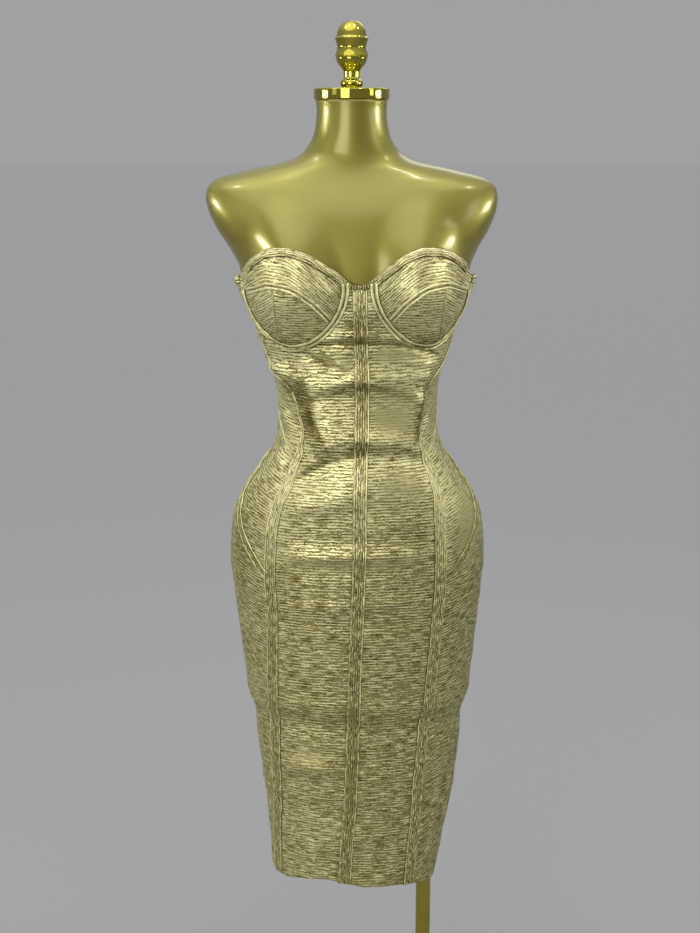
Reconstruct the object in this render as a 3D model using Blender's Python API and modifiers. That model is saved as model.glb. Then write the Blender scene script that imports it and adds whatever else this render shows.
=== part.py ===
"""A strapless bodycon midi dress on a limbless display form with its stand.

Metres, +Z up. The front faces -Y and the wearer's left side is +X. The origin is the middle of the
stand's base, where it rests on the floor.

Every piece of cloth is a thin wall on one shape, the figure: a stack of rounded sections from the
FIGURE table, with two cups standing out of its front. A place on the figure is an angle round it,
in degrees from the centre front seam (the wearer's left is positive), and a height. Seams are
angles that change with the height, so that neighbouring panels are cut along the same line.
"""

import math

import bmesh
import bpy
from mathutils import Matrix, Vector
from mathutils.bvhtree import BVHTree

# ---------------------------------------------------------------- driving dimensions
WALL = 0.002                # knit cloth with its foil print
SEAM_GAP = 0.0003           # between neighbouring pieces
LIFT = 0.00045              # between a tape and the panels under it
CUP_LIFT = 0.0006           # the same on the cups, which are rounder
TAPE_THICKNESS = 0.0012
BINDING_THICKNESS = 0.0014
CENTRE_TAPE_WIDTH = 0.0195
HIP_TAPE_WIDTH = 0.009
CHANNEL_WIDTH = 0.009       # underwire channel
CUP_BAND_WIDTH = 0.0075
BINDING_WIDTH = 0.0105

# The figure, over the cloth: half_width to each side, front and back from the middle, square is the
# exponent of the section's corners, shift is the middle's place in X, turn is how far the
# centre front seam has drifted round, in degrees.
FIGURE_COLUMNS = ("height", "half_width", "front", "back", "square", "shift", "turn")
FIGURE = (
    (0.380, 0.1200, 0.065, 0.073, 2.10, 0.0055, -6.9),
    (0.460, 0.1297, 0.070, 0.078, 2.10, 0.0100, -6.5),
    (0.530, 0.1382, 0.074, 0.082, 2.10, 0.0130, -5.2),
    (0.600, 0.1465, 0.078, 0.086, 2.10, 0.0125, -3.6),
    (0.650, 0.1508, 0.080, 0.089, 2.10, 0.0120, -2.8),
    (0.672, 0.1575, 0.086, 0.098, 2.10, 0.0120, -2.4),
    (0.730, 0.1640, 0.090, 0.106, 2.15, 0.0115, -1.7),
    (0.800, 0.1718, 0.096, 0.117, 2.15, 0.0110, -0.6),
    (0.880, 0.1786, 0.100, 0.125, 2.20, 0.0102, 0.6),
    (0.930, 0.1755, 0.101, 0.123, 2.20, 0.0102, 1.0),
    (0.970, 0.1620, 0.099, 0.113, 2.20, 0.0102, 1.0),
    (1.010, 0.1350, 0.095, 0.098, 2.15, 0.0102, 1.5),
    (1.045, 0.1140, 0.089, 0.085, 2.10, 0.0105, 2.1),
    (1.085, 0.1090, 0.083, 0.077, 2.10, 0.0102, 2.8),
    (1.120, 0.1108, 0.083, 0.075, 2.10, 0.0098, 3.2),
    (1.160, 0.1230, 0.089, 0.078, 2.10, 0.0088, 3.0),
    (1.200, 0.1360, 0.096, 0.083, 2.15, 0.0074, 2.7),
    (1.250, 0.1548, 0.100, 0.087, 2.20, 0.0070, 2.2),
    (1.280, 0.1590, 0.099, 0.089, 2.20, 0.0066, 2.0),
    (1.305, 0.1700, 0.095, 0.090, 2.20, 0.0052, 1.0),
    (1.330, 0.1850, 0.089, 0.090, 2.25, 0.0040, 0.4),
    (1.357, 0.1960, 0.080, 0.088, 2.30, 0.0030, 0.0),
    (1.372, 0.1985, 0.073, 0.085, 2.30, 0.0025, 0.0),
    (1.385, 0.1965, 0.066, 0.081, 2.30, 0.0022, 0.0),
    (1.396, 0.1880, 0.060, 0.076, 2.20, 0.0022, 0.0),
    (1.409, 0.1440, 0.054, 0.069, 2.10, 0.0022, 0.0),
    (1.422, 0.0870, 0.050, 0.063, 2.05, 0.0022, 0.0),
    (1.435, 0.0668, 0.048, 0.060, 2.00, 0.0022, 0.0),
    (1.460, 0.0530, 0.047, 0.058, 2.00, 0.0022, 0.0),
    (1.486, 0.0500, 0.047, 0.057, 2.00, 0.0022, 0.0),
    (1.499, 0.0512, 0.048, 0.058, 2.00, 0.0022, 0.0),
)

# Cups, on the front: "out" is the distance from the centre front, seen from the front.
CUP_OUT = 0.091
CUP_LEVEL = 1.262
CUP_INNER = 0.0725          # from the middle of a cup to its underwire, on each side
CUP_OUTER = 0.0595
CUP_DROP = 0.080
CUP_RISE = 0.125            # how far up the front the cup's swell fades out
CUP_DEPTH = 0.036
CUP_FALL = 1.3              # exponent of the swell's fall to its edge
WIRE_BEND = 2 / 1.75        # the underwire runs a little straighter than an ellipse
PRINCESS_TOP = 130          # angle along the underwire where the princess seam meets it
GORE_MIDDLE = (0.0, 1.2635)  # top of the gore between the cups
GORE_CORNER = (0.0185, 1.2670)

GORE_BINDING_OUT = 0.0172   # half the length of the gathered binding over the gore
GORE_BINDING_WIDTH = 0.0125
GORE_PLEATS = 7
GORE_VALLEY = 0.0010        # its thickness between two pleats
GORE_RELIEF = 0.0009        # and what a pleat adds

NECKLINE_COLUMNS = ("out", "height")
NECKLINE = (
    (0.0190, 1.2710), (0.0395, 1.2910), (0.0645, 1.3070), (0.0905, 1.3145),
    (0.1120, 1.3125), (0.1335, 1.3005), (0.1490, 1.2840), (0.1540, 1.2720),
)
CUP_SEAM_COLUMNS = ("out", "height")
CUP_SEAM = (
    (0.0358, 1.2160), (0.0630, 1.2465), (0.0907, 1.2640), (0.1120, 1.2668),
    (0.1350, 1.2585), (0.1493, 1.2515),
)

# Seams down the body: the angle at each height.
PRINCESS_COLUMNS = ("height", "wearer_right", "wearer_left")
PRINCESS = (
    (0.380, 59.5, 47.5), (0.480, 54.5, 43.5), (0.570, 50.3, 40.2), (0.640, 48.2, 40.0),
    (0.715, 44.4, 39.6), (0.833, 41.2, 38.2), (0.911, 41.2, 37.1), (0.950, 40.9, 38.1),
    (0.992, 40.6, 43.0), (1.020, 42.2, 45.5), (1.041, 42.3, 45.4), (1.062, 42.0, 43.0),
    (1.100, 47.8, 44.8), (1.135, 57.0, 54.5), (1.158, 71.0, 69.5), (1.180, 75.0, 74.0),
)
SIDE_COLUMNS = ("height", "angle")
SIDE = (
    (1.040, 54.0), (1.050, 59.5), (1.060, 65.0), (1.070, 72.5), (1.085, 83.0),
    (1.100, 89.0), (1.130, 94.0), (1.170, 97.0), (1.220, 100.0), (1.280, 102.0),
)
HIP_COLUMNS = ("height", "angle")
HIP = (
    (0.873, 45.0), (0.890, 50.5), (0.905, 56.0), (0.925, 62.5), (0.945, 68.5),
    (0.970, 77.0), (0.990, 81.5), (1.010, 84.5), (1.030, 88.0), (1.060, 94.0),
    (1.100, 104.0), (1.150, 116.0), (1.200, 124.0), (1.280, 131.0),
)
HIP_POINT = 0.865           # where the hip seam meets the princess seam
HIP_TIP = 0.869             # the hip panel's blunt lower end
WAIST_POINT = 1.028         # where the side seam meets the princess seam
WAIST_TIP = 1.031           # the side front panel's blunt lower end
PRINCESS_TAPE_COLUMNS = ("height", "width")
PRINCESS_TAPE = (
    (0.380, 0.0175), (0.900, 0.0185), (1.000, 0.0170), (1.035, 0.0130), (1.060, 0.0070),
    (1.110, 0.0045), (1.210, 0.0045),
)
HEM_COLUMNS = ("angle", "height")
HEM = (
    (-180, 0.3920), (-110, 0.3950), (-63, 0.3970), (-48, 0.3940), (-32, 0.3980), (-13, 0.4020),
    (1, 0.3965), (15, 0.3905), (40, 0.3890), (74, 0.3820), (110, 0.3850), (180, 0.3920),
)
BACK_TOP_COLUMNS = ("angle", "height")
BACK_TOP = ((60, 1.2720), (76, 1.2720), (102, 1.2645), (131, 1.2600), (180, 1.2565))

# Heights of the panels' rows, below the parts whose tops slope. Panels that share a seam share
# its rows, so that their edges run side by side.
LEVELS = (0.450, 0.510, 0.570, 0.618, 0.650, 0.672, 0.720, 0.770, 0.820, HIP_POINT, HIP_TIP, 0.877,
          0.890, 0.905, 0.925, 0.945, 0.970, 0.990, 1.010, WAIST_TIP, 1.041, 1.052, 1.064, 1.080,
          1.100, 1.130, 1.158)
UPPER_STEPS = 3             # rows from the last level to the underwire
# Stations are angles along the underwire, from the gore to the armhole.
GORE_STATIONS = (0, 19)
INNER_STATIONS = (38, 52, 66, 80, 94)         # from the cup seam to the lower cup's own seam
MIDDLE_STATION = 108
LOWER_STATIONS = (119, PRINCESS_TOP)
WIRE_STATIONS = (*GORE_STATIONS, *INNER_STATIONS, MIDDLE_STATION, *LOWER_STATIONS)
OUTER_STATIONS = (145, 160)
LOWER_CUP_OUT = 0.1120      # where the lower cup's own seam meets the cup seam
SEAM_OUTS = (0.1493, 0.1410, 0.1335, 0.1262, 0.1190, 0.1120, 0.0965, 0.0810, 0.0655, 0.0510,
             0.0358)
NECK_OUTS = (0.1540, 0.1495, 0.1430, 0.1345, 0.1250, 0.1140, 0.1010, 0.0870, 0.0730, 0.0590,
             0.0450, 0.0315, 0.0190)
CUP_ROWS = 5
SIDE_FRONT_COLUMNS = 4      # faces across each panel
HIP_PANEL_COLUMNS = 5
BACK_COLUMNS = 12
BACK_BINDING_STEPS = 20
HIP_TAPE_LEVELS = (0.884, 0.893, 0.905, 0.918, 0.932, 0.945, 0.958, 0.970, 0.980, 0.990, 1.000,
                   1.010, 1.020, WAIST_TIP)
CHANNEL_STATIONS = range(10, 171, 10)
CUP_BAND_ENDS = (0.0435, 0.1405)
NECK_BINDING_OUTS = (0.0225, 0.0300, 0.0395, 0.0500, 0.0610, 0.0730, 0.0850, 0.0970, 0.1080,
                     0.1190, 0.1295, 0.1385, 0.1455)

# The form inside the dress.
INSET_COLUMNS = ("height", "inset")      # under the cloth's face: its wall and room for it
INSET = ((0.66, 0.0044), (0.95, 0.0044), (1.03, 0.0036), (1.07, 0.0033), (1.10, 0.0037),
         (1.14, 0.0044), (1.25, 0.0044), (1.30, 0.0038))
STEEPEST = 1.5              # most that a slope may add to the inset
FORM_SWELL = 0.030          # depth of the form's bust
FORM_FALL = 2.2
FORM_BOTTOM = 0.664
FORM_TOP = 1.499
FORM_SIDES = 32
FORM_LOW_LEVELS = (FORM_BOTTOM, 0.676)
FORM_HIGH_LEVELS = (1.174, 1.190, 1.212, 1.235, 1.258, 1.282, 1.305, 1.328, 1.350, 1.368, 1.382,
                    1.391, 1.398, 1.404, 1.410, 1.416, 1.423, 1.432, 1.445, 1.465, 1.486, FORM_TOP)

# The stand.
NECK_MIDDLE = (0.0022, 0.005)
CAP_RADIUS = 0.0500
CAP_THICKNESS = 0.0145
FINIAL_COLUMNS = ("radius", "height")          # above the cap
FINIAL = (
    (0.0000, 0.0860), (0.0080, 0.0850), (0.0145, 0.0805), (0.0190, 0.0735), (0.0217, 0.0665),
    (0.0222, 0.0632), (0.0207, 0.0580), (0.0189, 0.0520), (0.0203, 0.0460), (0.0219, 0.0412),
    (0.0202, 0.0345), (0.0150, 0.0280), (0.0107, 0.0225), (0.0106, 0.0145), (0.0118, 0.0125),
    (0.0142, 0.0100), (0.0150, 0.0072), (0.0140, 0.0035), (0.0118, 0.0010), (0.0000, 0.0010),
)
POLE_X = 0.110
POLE_RADIUS = 0.011
FLANGE_RADIUS = 0.028
FLANGE_HEIGHT = 0.007
BASE_RADIUS = 0.200
BASE_HEIGHT = 0.010
TURNED_STEPS = 28

# The zip at the centre back. Its slider's own axes: across, out from the cloth and up.
ZIP_HEIGHT = 1.226          # middle of the slider
SLIDER_WIDTH = 0.0076
SLIDER_LENGTH = 0.0110
SLIDER_THICKNESS = 0.0024
SLIDER_CORNER = 0.0016
EAR_THICKNESS = 0.0011      # the two ears that hold the pin
EAR_LENGTH = 0.0040
EAR_UP = 0.0022             # pin's middle, up from the slider's middle
PIN_OUT = 0.0056            # and out from the slider's back
PIN_RADIUS = 0.0007
PIN_SLACK = 0.0003          # between the pin and the pull's barrel
BARREL_WALL = 0.0008
PULL_WIDTH = 0.0032
PULL_SLACK = 0.0003         # between the pull and each ear
PULL_THICKNESS = 0.0014
PULL_LENGTH = 0.0220        # from the pin's middle to the middle of its rounded end
PULL_END_RADIUS = 0.0040
PULL_HOLE_RADIUS = 0.0015
ZIP_SIDES = 24              # faces round the pin, the barrel and the pull's end

FOIL = ("gold foil knit", (0.45, 0.42, 0.17), 0.42, 0.55)
TAPE = ("woven foil tape", (0.50, 0.47, 0.22), 0.50, 0.45)
PAINT = ("metallic gold paint", (0.42, 0.36, 0.06), 0.22, 0.80)
POLISH = ("polished gold", (0.85, 0.62, 0.16), 0.08, 1.00)
ZIP_METAL = ("zip metal", (0.70, 0.60, 0.30), 0.25, 1.00)


# ---------------------------------------------------------------- smooth tables
def slopes(places, values):
    """Return the slopes of a curve through the values that never overshoots them."""
    chords = [(v1 - v0) / (p1 - p0)
              for p0, p1, v0, v1 in zip(places, places[1:], values, values[1:])]
    inner = [2 * a * b / (a + b) if a * b > 0 else 0.0 for a, b in zip(chords, chords[1:])]
    return [chords[0], *inner, chords[-1]]


def curve(table, along, value):
    """Return a smooth function that reads column `value` of a table at a place in column `along`."""
    rows = sorted(table, key=lambda row: row[along])
    places = [row[along] for row in rows]
    values = [row[value] for row in rows]
    tilt = slopes(places, values)

    def read(place):
        place = min(max(place, places[0]), places[-1])
        index = next(i for i in range(1, len(places)) if place <= places[i]) - 1
        step = places[index + 1] - places[index]
        t = (place - places[index]) / step
        return ((1 + 2 * t) * (1 - t) ** 2 * values[index]
                + t * (1 - t) ** 2 * step * tilt[index]
                + t * t * (3 - 2 * t) * values[index + 1]
                + t * t * (t - 1) * step * tilt[index + 1])

    return read


def columns(table, names):
    """Return a smooth function of the table's first column for each of its other columns."""
    return {name: curve(table, 0, index) for index, name in enumerate(names) if index}


figure = columns(FIGURE, FIGURE_COLUMNS)
neckline_height = columns(NECKLINE, NECKLINE_COLUMNS)["height"]
cup_seam_height = columns(CUP_SEAM, CUP_SEAM_COLUMNS)["height"]
princess = columns(PRINCESS, PRINCESS_COLUMNS)
side_angle = columns(SIDE, SIDE_COLUMNS)["angle"]
hip_angle = columns(HIP, HIP_COLUMNS)["angle"]
princess_width = columns(PRINCESS_TAPE, PRINCESS_TAPE_COLUMNS)["width"]
hem_height = columns(HEM, HEM_COLUMNS)["height"]
back_top = columns(BACK_TOP, BACK_TOP_COLUMNS)["height"]
form_inset = columns(INSET, INSET_COLUMNS)["inset"]


def blend(start, end, t):
    return start + (end - start) * t


def steps(start, end, count):
    """Return count + 1 even steps from start to end."""
    return [blend(start, end, index / count) for index in range(count + 1)]


# ---------------------------------------------------------------- the figure's surface
def roundness(angle, square):
    """Return how far a squared-off section reaches at an angle, against a plain ellipse."""
    sine, cosine = abs(math.sin(angle)), abs(math.cos(angle))
    return (sine ** square + cosine ** square) ** (-1 / square)


def distance_out(angle, height):
    """Return how far out from the centre front a place lies, seen from the front."""
    turn = math.radians(angle)
    square = figure["square"](height)
    return figure["half_width"](height) * roundness(turn, square) * math.sin(turn)


def angle_out(out, height):
    """Return the angle, in degrees, of a place this far out on the front."""
    square = figure["square"](height)
    share = min(abs(out) / figure["half_width"](height), 0.9999)
    angle = math.atan2(share, (1 - share ** square) ** (1 / square))
    return math.copysign(math.degrees(angle), out)


def swell(out, height, depth, fall):
    """Return how far a cup stands out of the front at a place."""
    across = abs(out) - CUP_OUT
    across /= CUP_OUTER if across > 0 else CUP_INNER
    up = height - CUP_LEVEL
    up /= CUP_RISE if up > 0 else CUP_DROP
    near = 1 - across * across - up * up
    return depth * near ** fall if near > 0 else 0.0


def surface(angle, height, depth=CUP_DEPTH, fall=CUP_FALL):
    """Return the point of the cloth's face at an angle and a height."""
    turn = math.radians(angle + figure["turn"](height))
    square = figure["square"](height)
    reach = roundness(turn, square)
    x = figure["shift"](height) + figure["half_width"](height) * reach * math.sin(turn)
    to_front = math.cos(turn) > 0
    y = -figure["front" if to_front else "back"](height) * reach * math.cos(turn)
    if to_front:
        y -= swell(distance_out(angle, height), height, depth, fall)
    return Vector((x, y, height))


def slope_vectors(angle, height, place=surface):
    """Return the surface's change for one degree and for one metre up."""
    round_step, up_step = 0.4, 0.0008
    across = (place(angle + round_step, height) - place(angle - round_step, height)) / (2 * round_step)
    upward = (place(angle, height + up_step) - place(angle, height - up_step)) / (2 * up_step)
    return across, upward


def skin(angle, height, place=surface):
    """Return a point of the surface and the outward normal there."""
    across, upward = slope_vectors(angle, height, place)
    return place(angle, height), across.cross(upward).normalized()


def moved(angle, height, across_metres, up_metres):
    """Return the angle and height of the place this far away along the surface."""
    across, upward = slope_vectors(angle, height)
    return angle + across_metres / across.length, height + up_metres / upward.length


def beside(angle, height, heading, distance):
    """Return the place at a distance to the right of a heading, along the surface."""
    across, upward = slope_vectors(angle, height)
    ahead = (across * heading[0] + upward * heading[1]).normalized()
    aside = ahead.cross(across.cross(upward).normalized()) * distance
    aa, ab, bb = across.dot(across), across.dot(upward), upward.dot(upward)
    pa, pb = aside.dot(across), aside.dot(upward)
    scale = aa * bb - ab * ab
    return angle + (pa * bb - pb * ab) / scale, height + (pb * aa - pa * ab) / scale


# ---------------------------------------------------------------- solids
def make_material(finish):
    name, colour, roughness, metallic = finish
    material = bpy.data.materials.get(name)
    if material is None:
        material = bpy.data.materials.new(name)
        material.use_nodes = True
        shader = material.node_tree.nodes["Principled BSDF"]
        shader.inputs["Base Color"].default_value = (*colour, 1)
        shader.inputs["Roughness"].default_value = roughness
        shader.inputs["Metallic"].default_value = metallic
        material.diffuse_color = (*colour, 1)
    return material


def add_object(name, mesh, finish, collection):
    piece = bpy.data.objects.new(name, mesh)
    mesh.materials.append(make_material(finish))
    collection.objects.link(piece)
    return piece


def wall(name, grid, inner, outer, finish, collection):
    """Return a closed wall over a grid of surface points, from one height to another over them.

    The grid's rows hold (point, normal) pairs; outer is one height, or one for each row.
    Triangles are cut the same way everywhere, so that a tape follows the panel under it.
    """
    build = bmesh.new()
    outers = outer if isinstance(outer, list) else [outer] * len(grid)
    low = [[build.verts.new(point + normal * inner) for point, normal in row] for row in grid]
    high = [[build.verts.new(point + normal * rise) for point, normal in row]
            for row, rise in zip(grid, outers)]
    last_row, last_column = len(grid) - 1, len(grid[0]) - 1

    def quad(a, b, c, d):
        build.faces.new((a, b, c))
        build.faces.new((a, c, d))

    def rim(start, end):
        """Close the edge between two grid places; neighbouring pieces get the same diagonal."""
        (i, j), (k, l) = start, end
        a, b = high[i][j], high[k][l]
        if (round(a.co.z, 4), a.co.x) > (round(b.co.z, 4), b.co.x):
            i, j, k, l = k, l, i, j
        quad(low[i][j], low[k][l], high[k][l], high[i][j])

    for i in range(last_row):
        for j in range(last_column):
            quad(high[i][j], high[i][j + 1], high[i + 1][j + 1], high[i + 1][j])
            quad(low[i][j], low[i][j + 1], low[i + 1][j + 1], low[i + 1][j])
    for j in range(last_column):
        rim((0, j), (0, j + 1))
        rim((last_row, j), (last_row, j + 1))
    for i in range(last_row):
        rim((i, 0), (i + 1, 0))
        rim((i, last_column), (i + 1, last_column))
    bmesh.ops.recalc_face_normals(build, faces=build.faces)
    mesh = bpy.data.meshes.new(name)
    build.to_mesh(mesh)
    build.free()
    mesh.shade_smooth()
    mesh.set_sharp_from_angle(angle=math.radians(50))
    return add_object(name, mesh, finish, collection)


def turned(name, profile, middle, finish, collection):
    """Return a solid turned round an upright axis, from a profile of (radius, height), top first."""
    mesh = bpy.data.meshes.new(name)
    points = [(radius, 0, height) for radius, height in profile]
    mesh.from_pydata(points, [(i, i + 1) for i in range(len(points) - 1)], [])
    piece = add_object(name, mesh, finish, collection)
    piece.location = middle
    screw = piece.modifiers.new("turn", "SCREW")
    screw.steps = TURNED_STEPS
    screw.render_steps = TURNED_STEPS
    screw.use_merge_vertices = True
    screw.merge_threshold = 0.00001
    screw.use_smooth_shade = True
    return piece


# ---------------------------------------------------------------- the dress's seams
def wire(station):
    """Return (out, height) of the underwire at an angle along it, from the gore to the armhole."""
    turn = math.radians(station)
    sine, cosine = abs(math.sin(turn)) ** WIRE_BEND, abs(math.cos(turn)) ** WIRE_BEND
    out = CUP_OUT - CUP_INNER * cosine if station < 90 else CUP_OUT + CUP_OUTER * cosine
    return out, CUP_LEVEL - CUP_DROP * sine


def on_front(out, height):
    """Turn (out, height) into (angle, height)."""
    return angle_out(out, height), height


def placed(points, side):
    """Turn (out, height) points into (angle, height) places on one side."""
    return [(angle_out(out, height) * side, height) for out, height in points]


def along(route, place):
    """Return the place at a fractional index along a route."""
    place = min(max(place, 0), len(route) - 1)
    index = min(int(place), len(route) - 2)
    return tuple(blend(a, b, place - index) for a, b in zip(route[index], route[index + 1]))


def drawn_in(edge, distance):
    """Return a route that runs a distance inside an edge."""
    route = []
    for index, (out, height) in enumerate(edge):
        ahead, behind = along(edge, index + 1), along(edge, index - 1)
        run, rise = ahead[0] - behind[0], ahead[1] - behind[1]
        share = distance / math.hypot(run, rise)
        route.append((out + rise * share, height - run * share))
    return route


PRINCESS_END = on_front(*wire(PRINCESS_TOP))
CUP_CORNER = on_front(*NECKLINE[-1])


def princess_angle(height, side):
    """Return the princess seam's angle, without its sign."""
    top = PRINCESS[-1][0]
    column = "wearer_left" if side > 0 else "wearer_right"
    if height <= top:
        return princess[column](height)
    t = min((height - top) / (PRINCESS_END[1] - top), 1)
    return blend(princess[column](top), PRINCESS_END[0], t)


def cup_edge_angle(height):
    """Return the angle of the cup's outer edge, above the princess seam."""
    seam_out, seam_height = CUP_SEAM[-1]
    if height >= seam_height - 1e-9:
        corner_out, corner_height = NECKLINE[-1]
        t = min((height - seam_height) / (corner_height - seam_height), 1)
        return angle_out(blend(seam_out, corner_out, t), height)
    drop = (CUP_LEVEL - height) / CUP_DROP
    sine = drop ** (1 / WIRE_BEND)
    cosine = math.sqrt(1 - sine * sine)
    return angle_out(CUP_OUT + CUP_OUTER * cosine ** WIRE_BEND, height)


def side_front_edge(height, side):
    if height <= PRINCESS_END[1]:
        return princess_angle(height, side)
    return cup_edge_angle(height)


def side_seam(height, side):
    """Return the side seam's angle, which runs into the princess seam at the waist."""
    first_height, first_angle = SIDE[0]
    if height >= first_height:
        return side_angle(height)
    t = max((height - WAIST_POINT) / (first_height - WAIST_POINT), 0)
    return blend(princess_angle(WAIST_POINT, side), first_angle, t)


def hip_seam(height, side):
    """Return the hip seam's angle, which runs into the princess seam below the hip."""
    first_height, first_angle = HIP[0]
    if height >= first_height:
        return hip_angle(height)
    t = max((height - HIP_POINT) / (first_height - HIP_POINT), 0)
    return blend(princess_angle(HIP_POINT, side), first_angle, t)


# ---------------------------------------------------------------- panels
def sheet(places, side):
    """Return a grid of surface points from rows of places, drawn in half a gap at both edges."""
    grid = []
    for row in places:
        inner, outer = row[0], row[-1]
        row = [moved(*inner, SEAM_GAP / 2 * side, 0), *row[1:-1],
               moved(*outer, -SEAM_GAP / 2 * side, 0)]
        grid.append([skin(angle, height) for angle, height in row])
    return grid


def upper_levels():
    """Return the heights of the princess seam's rows above the last level."""
    return [blend(LEVELS[-1], PRINCESS_END[1], t / UPPER_STEPS) for t in range(1, UPPER_STEPS + 1)]


def front_panel(side):
    """Return the front panel's grid: its top follows the gore and the underwire."""
    tops = [GORE_MIDDLE, GORE_CORNER, *(wire(station) for station in WIRE_STATIONS[1:])]
    shares = [angle_out(*top) / PRINCESS_END[0] for top in tops]
    places = []
    for level in (hem_height(0), *LEVELS):
        edge = princess_angle(level, side)
        places.append([(share * edge * side, level) for share in shares])
    places[0] = [(angle, hem_height(angle)) for angle, level in places[0]]
    for step, level in enumerate(upper_levels()[:-1], 1):
        edge = princess_angle(level, side)
        places.append([(share * edge * side, blend(LEVELS[-1], height, step / UPPER_STEPS))
                       for share, (out, height) in zip(shares, tops)])
    places.append(placed(drawn_in(tops, SEAM_GAP / 2), side))
    return sheet(places, side)


def seam_panel(side, levels, near_edge, far_edge, shares):
    """Return the grid of a panel between two seams, up to the top of the back."""
    places = []
    for level in levels:
        near, far = near_edge(level, side), far_edge(level, side)
        places.append([(blend(near, far, share) * side, level) for share in shares])
    places[-1] = [(angle, back_top(abs(angle))) for angle, level in places[-1]]
    if levels[0] < LEVELS[0]:
        places[0] = [(angle, hem_height(angle)) for angle, level in places[0]]
    return sheet(places, side)


def centre_back(height, side):
    return 180.0


def hip_front_edge(height, side):
    return side_seam(height, side) if height > WAIST_POINT else princess_angle(height, side)


def back_front_edge(height, side):
    return hip_seam(height, side) if height > HIP_POINT else princess_angle(height, side)


def body_panels(side, collection):
    """Make the four panels of one side and return them."""
    letter = "l" if side > 0 else "r"
    levels = [*LEVELS, *upper_levels(), *(wire(station)[1] for station in OUTER_STATIONS),
              CUP_SEAM[-1][1], NECKLINE[-1][1]]
    above_waist = [level for level in levels if level >= WAIST_TIP]
    above_hip = [level for level in levels if level >= HIP_TIP]
    back_shares = steps(0, 1, BACK_COLUMNS)
    grids = {
        "front_panel": front_panel(side),
        "side_front_panel": seam_panel(side, above_waist, side_front_edge, side_seam,
                                       steps(0, 1, SIDE_FRONT_COLUMNS)),
        "hip_panel": seam_panel(side, above_hip, hip_front_edge, hip_seam,
                                steps(0, 1, HIP_PANEL_COLUMNS)),
        "back_panel": seam_panel(side, [hem_height(180), *levels], back_front_edge, centre_back,
                                 back_shares),
    }
    return [wall(f"{kind}_{letter}", grid, -WALL, 0.0, FOIL, collection)
            for kind, grid in grids.items()]


# ---------------------------------------------------------------- cups
def toward(start, end, metres):
    """Return a point moved by a distance toward another."""
    length = math.dist(start, end)
    return tuple(blend(a, b, metres / length) for a, b in zip(start, end))


def ruled(side, upper, lower):
    """Return a grid between two rails of (out, height) points, drawn in half a gap all round."""
    rails = []
    for rail, inward in ((upper, -SEAM_GAP / 2), (lower, SEAM_GAP / 2)):
        rail = drawn_in(rail, inward)
        ends = toward(rail[0], rail[1], SEAM_GAP / 2), toward(rail[-1], rail[-2], SEAM_GAP / 2)
        rails.append([ends[0], *rail[1:-1], ends[1]])
    grid = []
    for share in steps(0, 1, CUP_ROWS):
        points = [tuple(blend(a, b, share) for a, b in zip(high, low)) for high, low in zip(*rails)]
        grid.append([skin(*place) for place in placed(points, side)])
    return grid


def on_cup_seam(out):
    return out, cup_seam_height(out)


def on_neckline(out):
    return out, neckline_height(out)


def blunt(rail, index, neighbour):
    """Return the rail with one end drawn back toward its neighbour, so a piece has no sharp tip."""
    tip, beside_tip = rail[index], rail[neighbour]
    rail[index] = tuple(blend(a, b, 0.22) for a, b in zip(tip, beside_tip))
    return rail


def cup_pieces(side, collection):
    """Make one cup's upper piece and its two lower ones."""
    letter = "l" if side > 0 else "r"
    seam = [on_cup_seam(out) for out in SEAM_OUTS]
    split = SEAM_OUTS.index(LOWER_CUP_OUT)
    neck = [on_neckline(out) for out in NECK_OUTS]
    outer_wire = [seam[0], *(wire(station) for station in reversed(
        (MIDDLE_STATION, *LOWER_STATIONS, *OUTER_STATIONS)))]
    inner_wire = [wire(station) for station in reversed((*INNER_STATIONS, MIDDLE_STATION))]
    grids = {
        "upper_cup": ruled(side, neck, [*seam, wire(GORE_STATIONS[-1]), GORE_CORNER]),
        "lower_cup_inner": ruled(side, blunt(seam[split:], -1, -2), blunt(inner_wire, -1, -2)),
        "lower_cup_outer": ruled(side, blunt(seam[:split + 1], 0, 1), blunt(outer_wire, 0, 1)),
    }
    return [wall(f"{kind}_{letter}", grid, -WALL, 0.0, FOIL, collection)
            for kind, grid in grids.items()]


# ---------------------------------------------------------------- tapes and bindings
def face_tree(pieces):
    """Return one search tree over the pieces' faces."""
    points, faces = [], []
    for piece in pieces:
        first = len(points)
        points.extend(vertex.co.copy() for vertex in piece.data.vertices)
        faces.extend([first + index for index in face.vertices] for face in piece.data.polygons)
    return BVHTree.FromPolygons(points, faces)


def rise_at(place, tree):
    """Return how high the panels' flat faces lie over the smooth surface at a place."""
    reach = 0.006
    point, normal = skin(*place)
    hit = tree.ray_cast(point + normal * reach, -normal, 2 * reach)
    return None if hit[0] is None else reach - hit[3]


def band(name, route, widths, tree, thickness, collection, lift=LIFT, relief=0.0):
    """Lay a strip of tape along a route of (angle, height) places, on the pieces under it.

    Each of its points clears the highest face that lies under the strip nearby. Every other row
    stands out further by the relief.
    """
    near_steps = (-0.5, -0.25, 0, 0.25, 0.5)
    grid = []
    for index in range(len(route)):
        ahead, behind = along(route, index + 0.5), along(route, index - 0.5)
        heading = (ahead[0] - behind[0], ahead[1] - behind[1])
        row = []
        for share in (0.5, 0.0, -0.5):
            rises = []
            for step in near_steps:
                middle = along(route, index + step)
                for aside in near_steps:
                    near_share = min(max(share + aside / 2, -0.5), 0.5)
                    near = beside(*middle, heading, widths[index] * near_share)
                    rises.append(rise_at(near, tree))
            rises = [rise for rise in rises if rise is not None]
            point, normal = skin(*beside(*route[index], heading, widths[index] * share))
            row.append((point + normal * max(rises, default=0.0), normal))
        grid.append(row)
    outers = [lift + thickness + relief * (index % 2) for index in range(len(grid))]
    return wall(name, grid, lift, outers, TAPE, collection)


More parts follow.
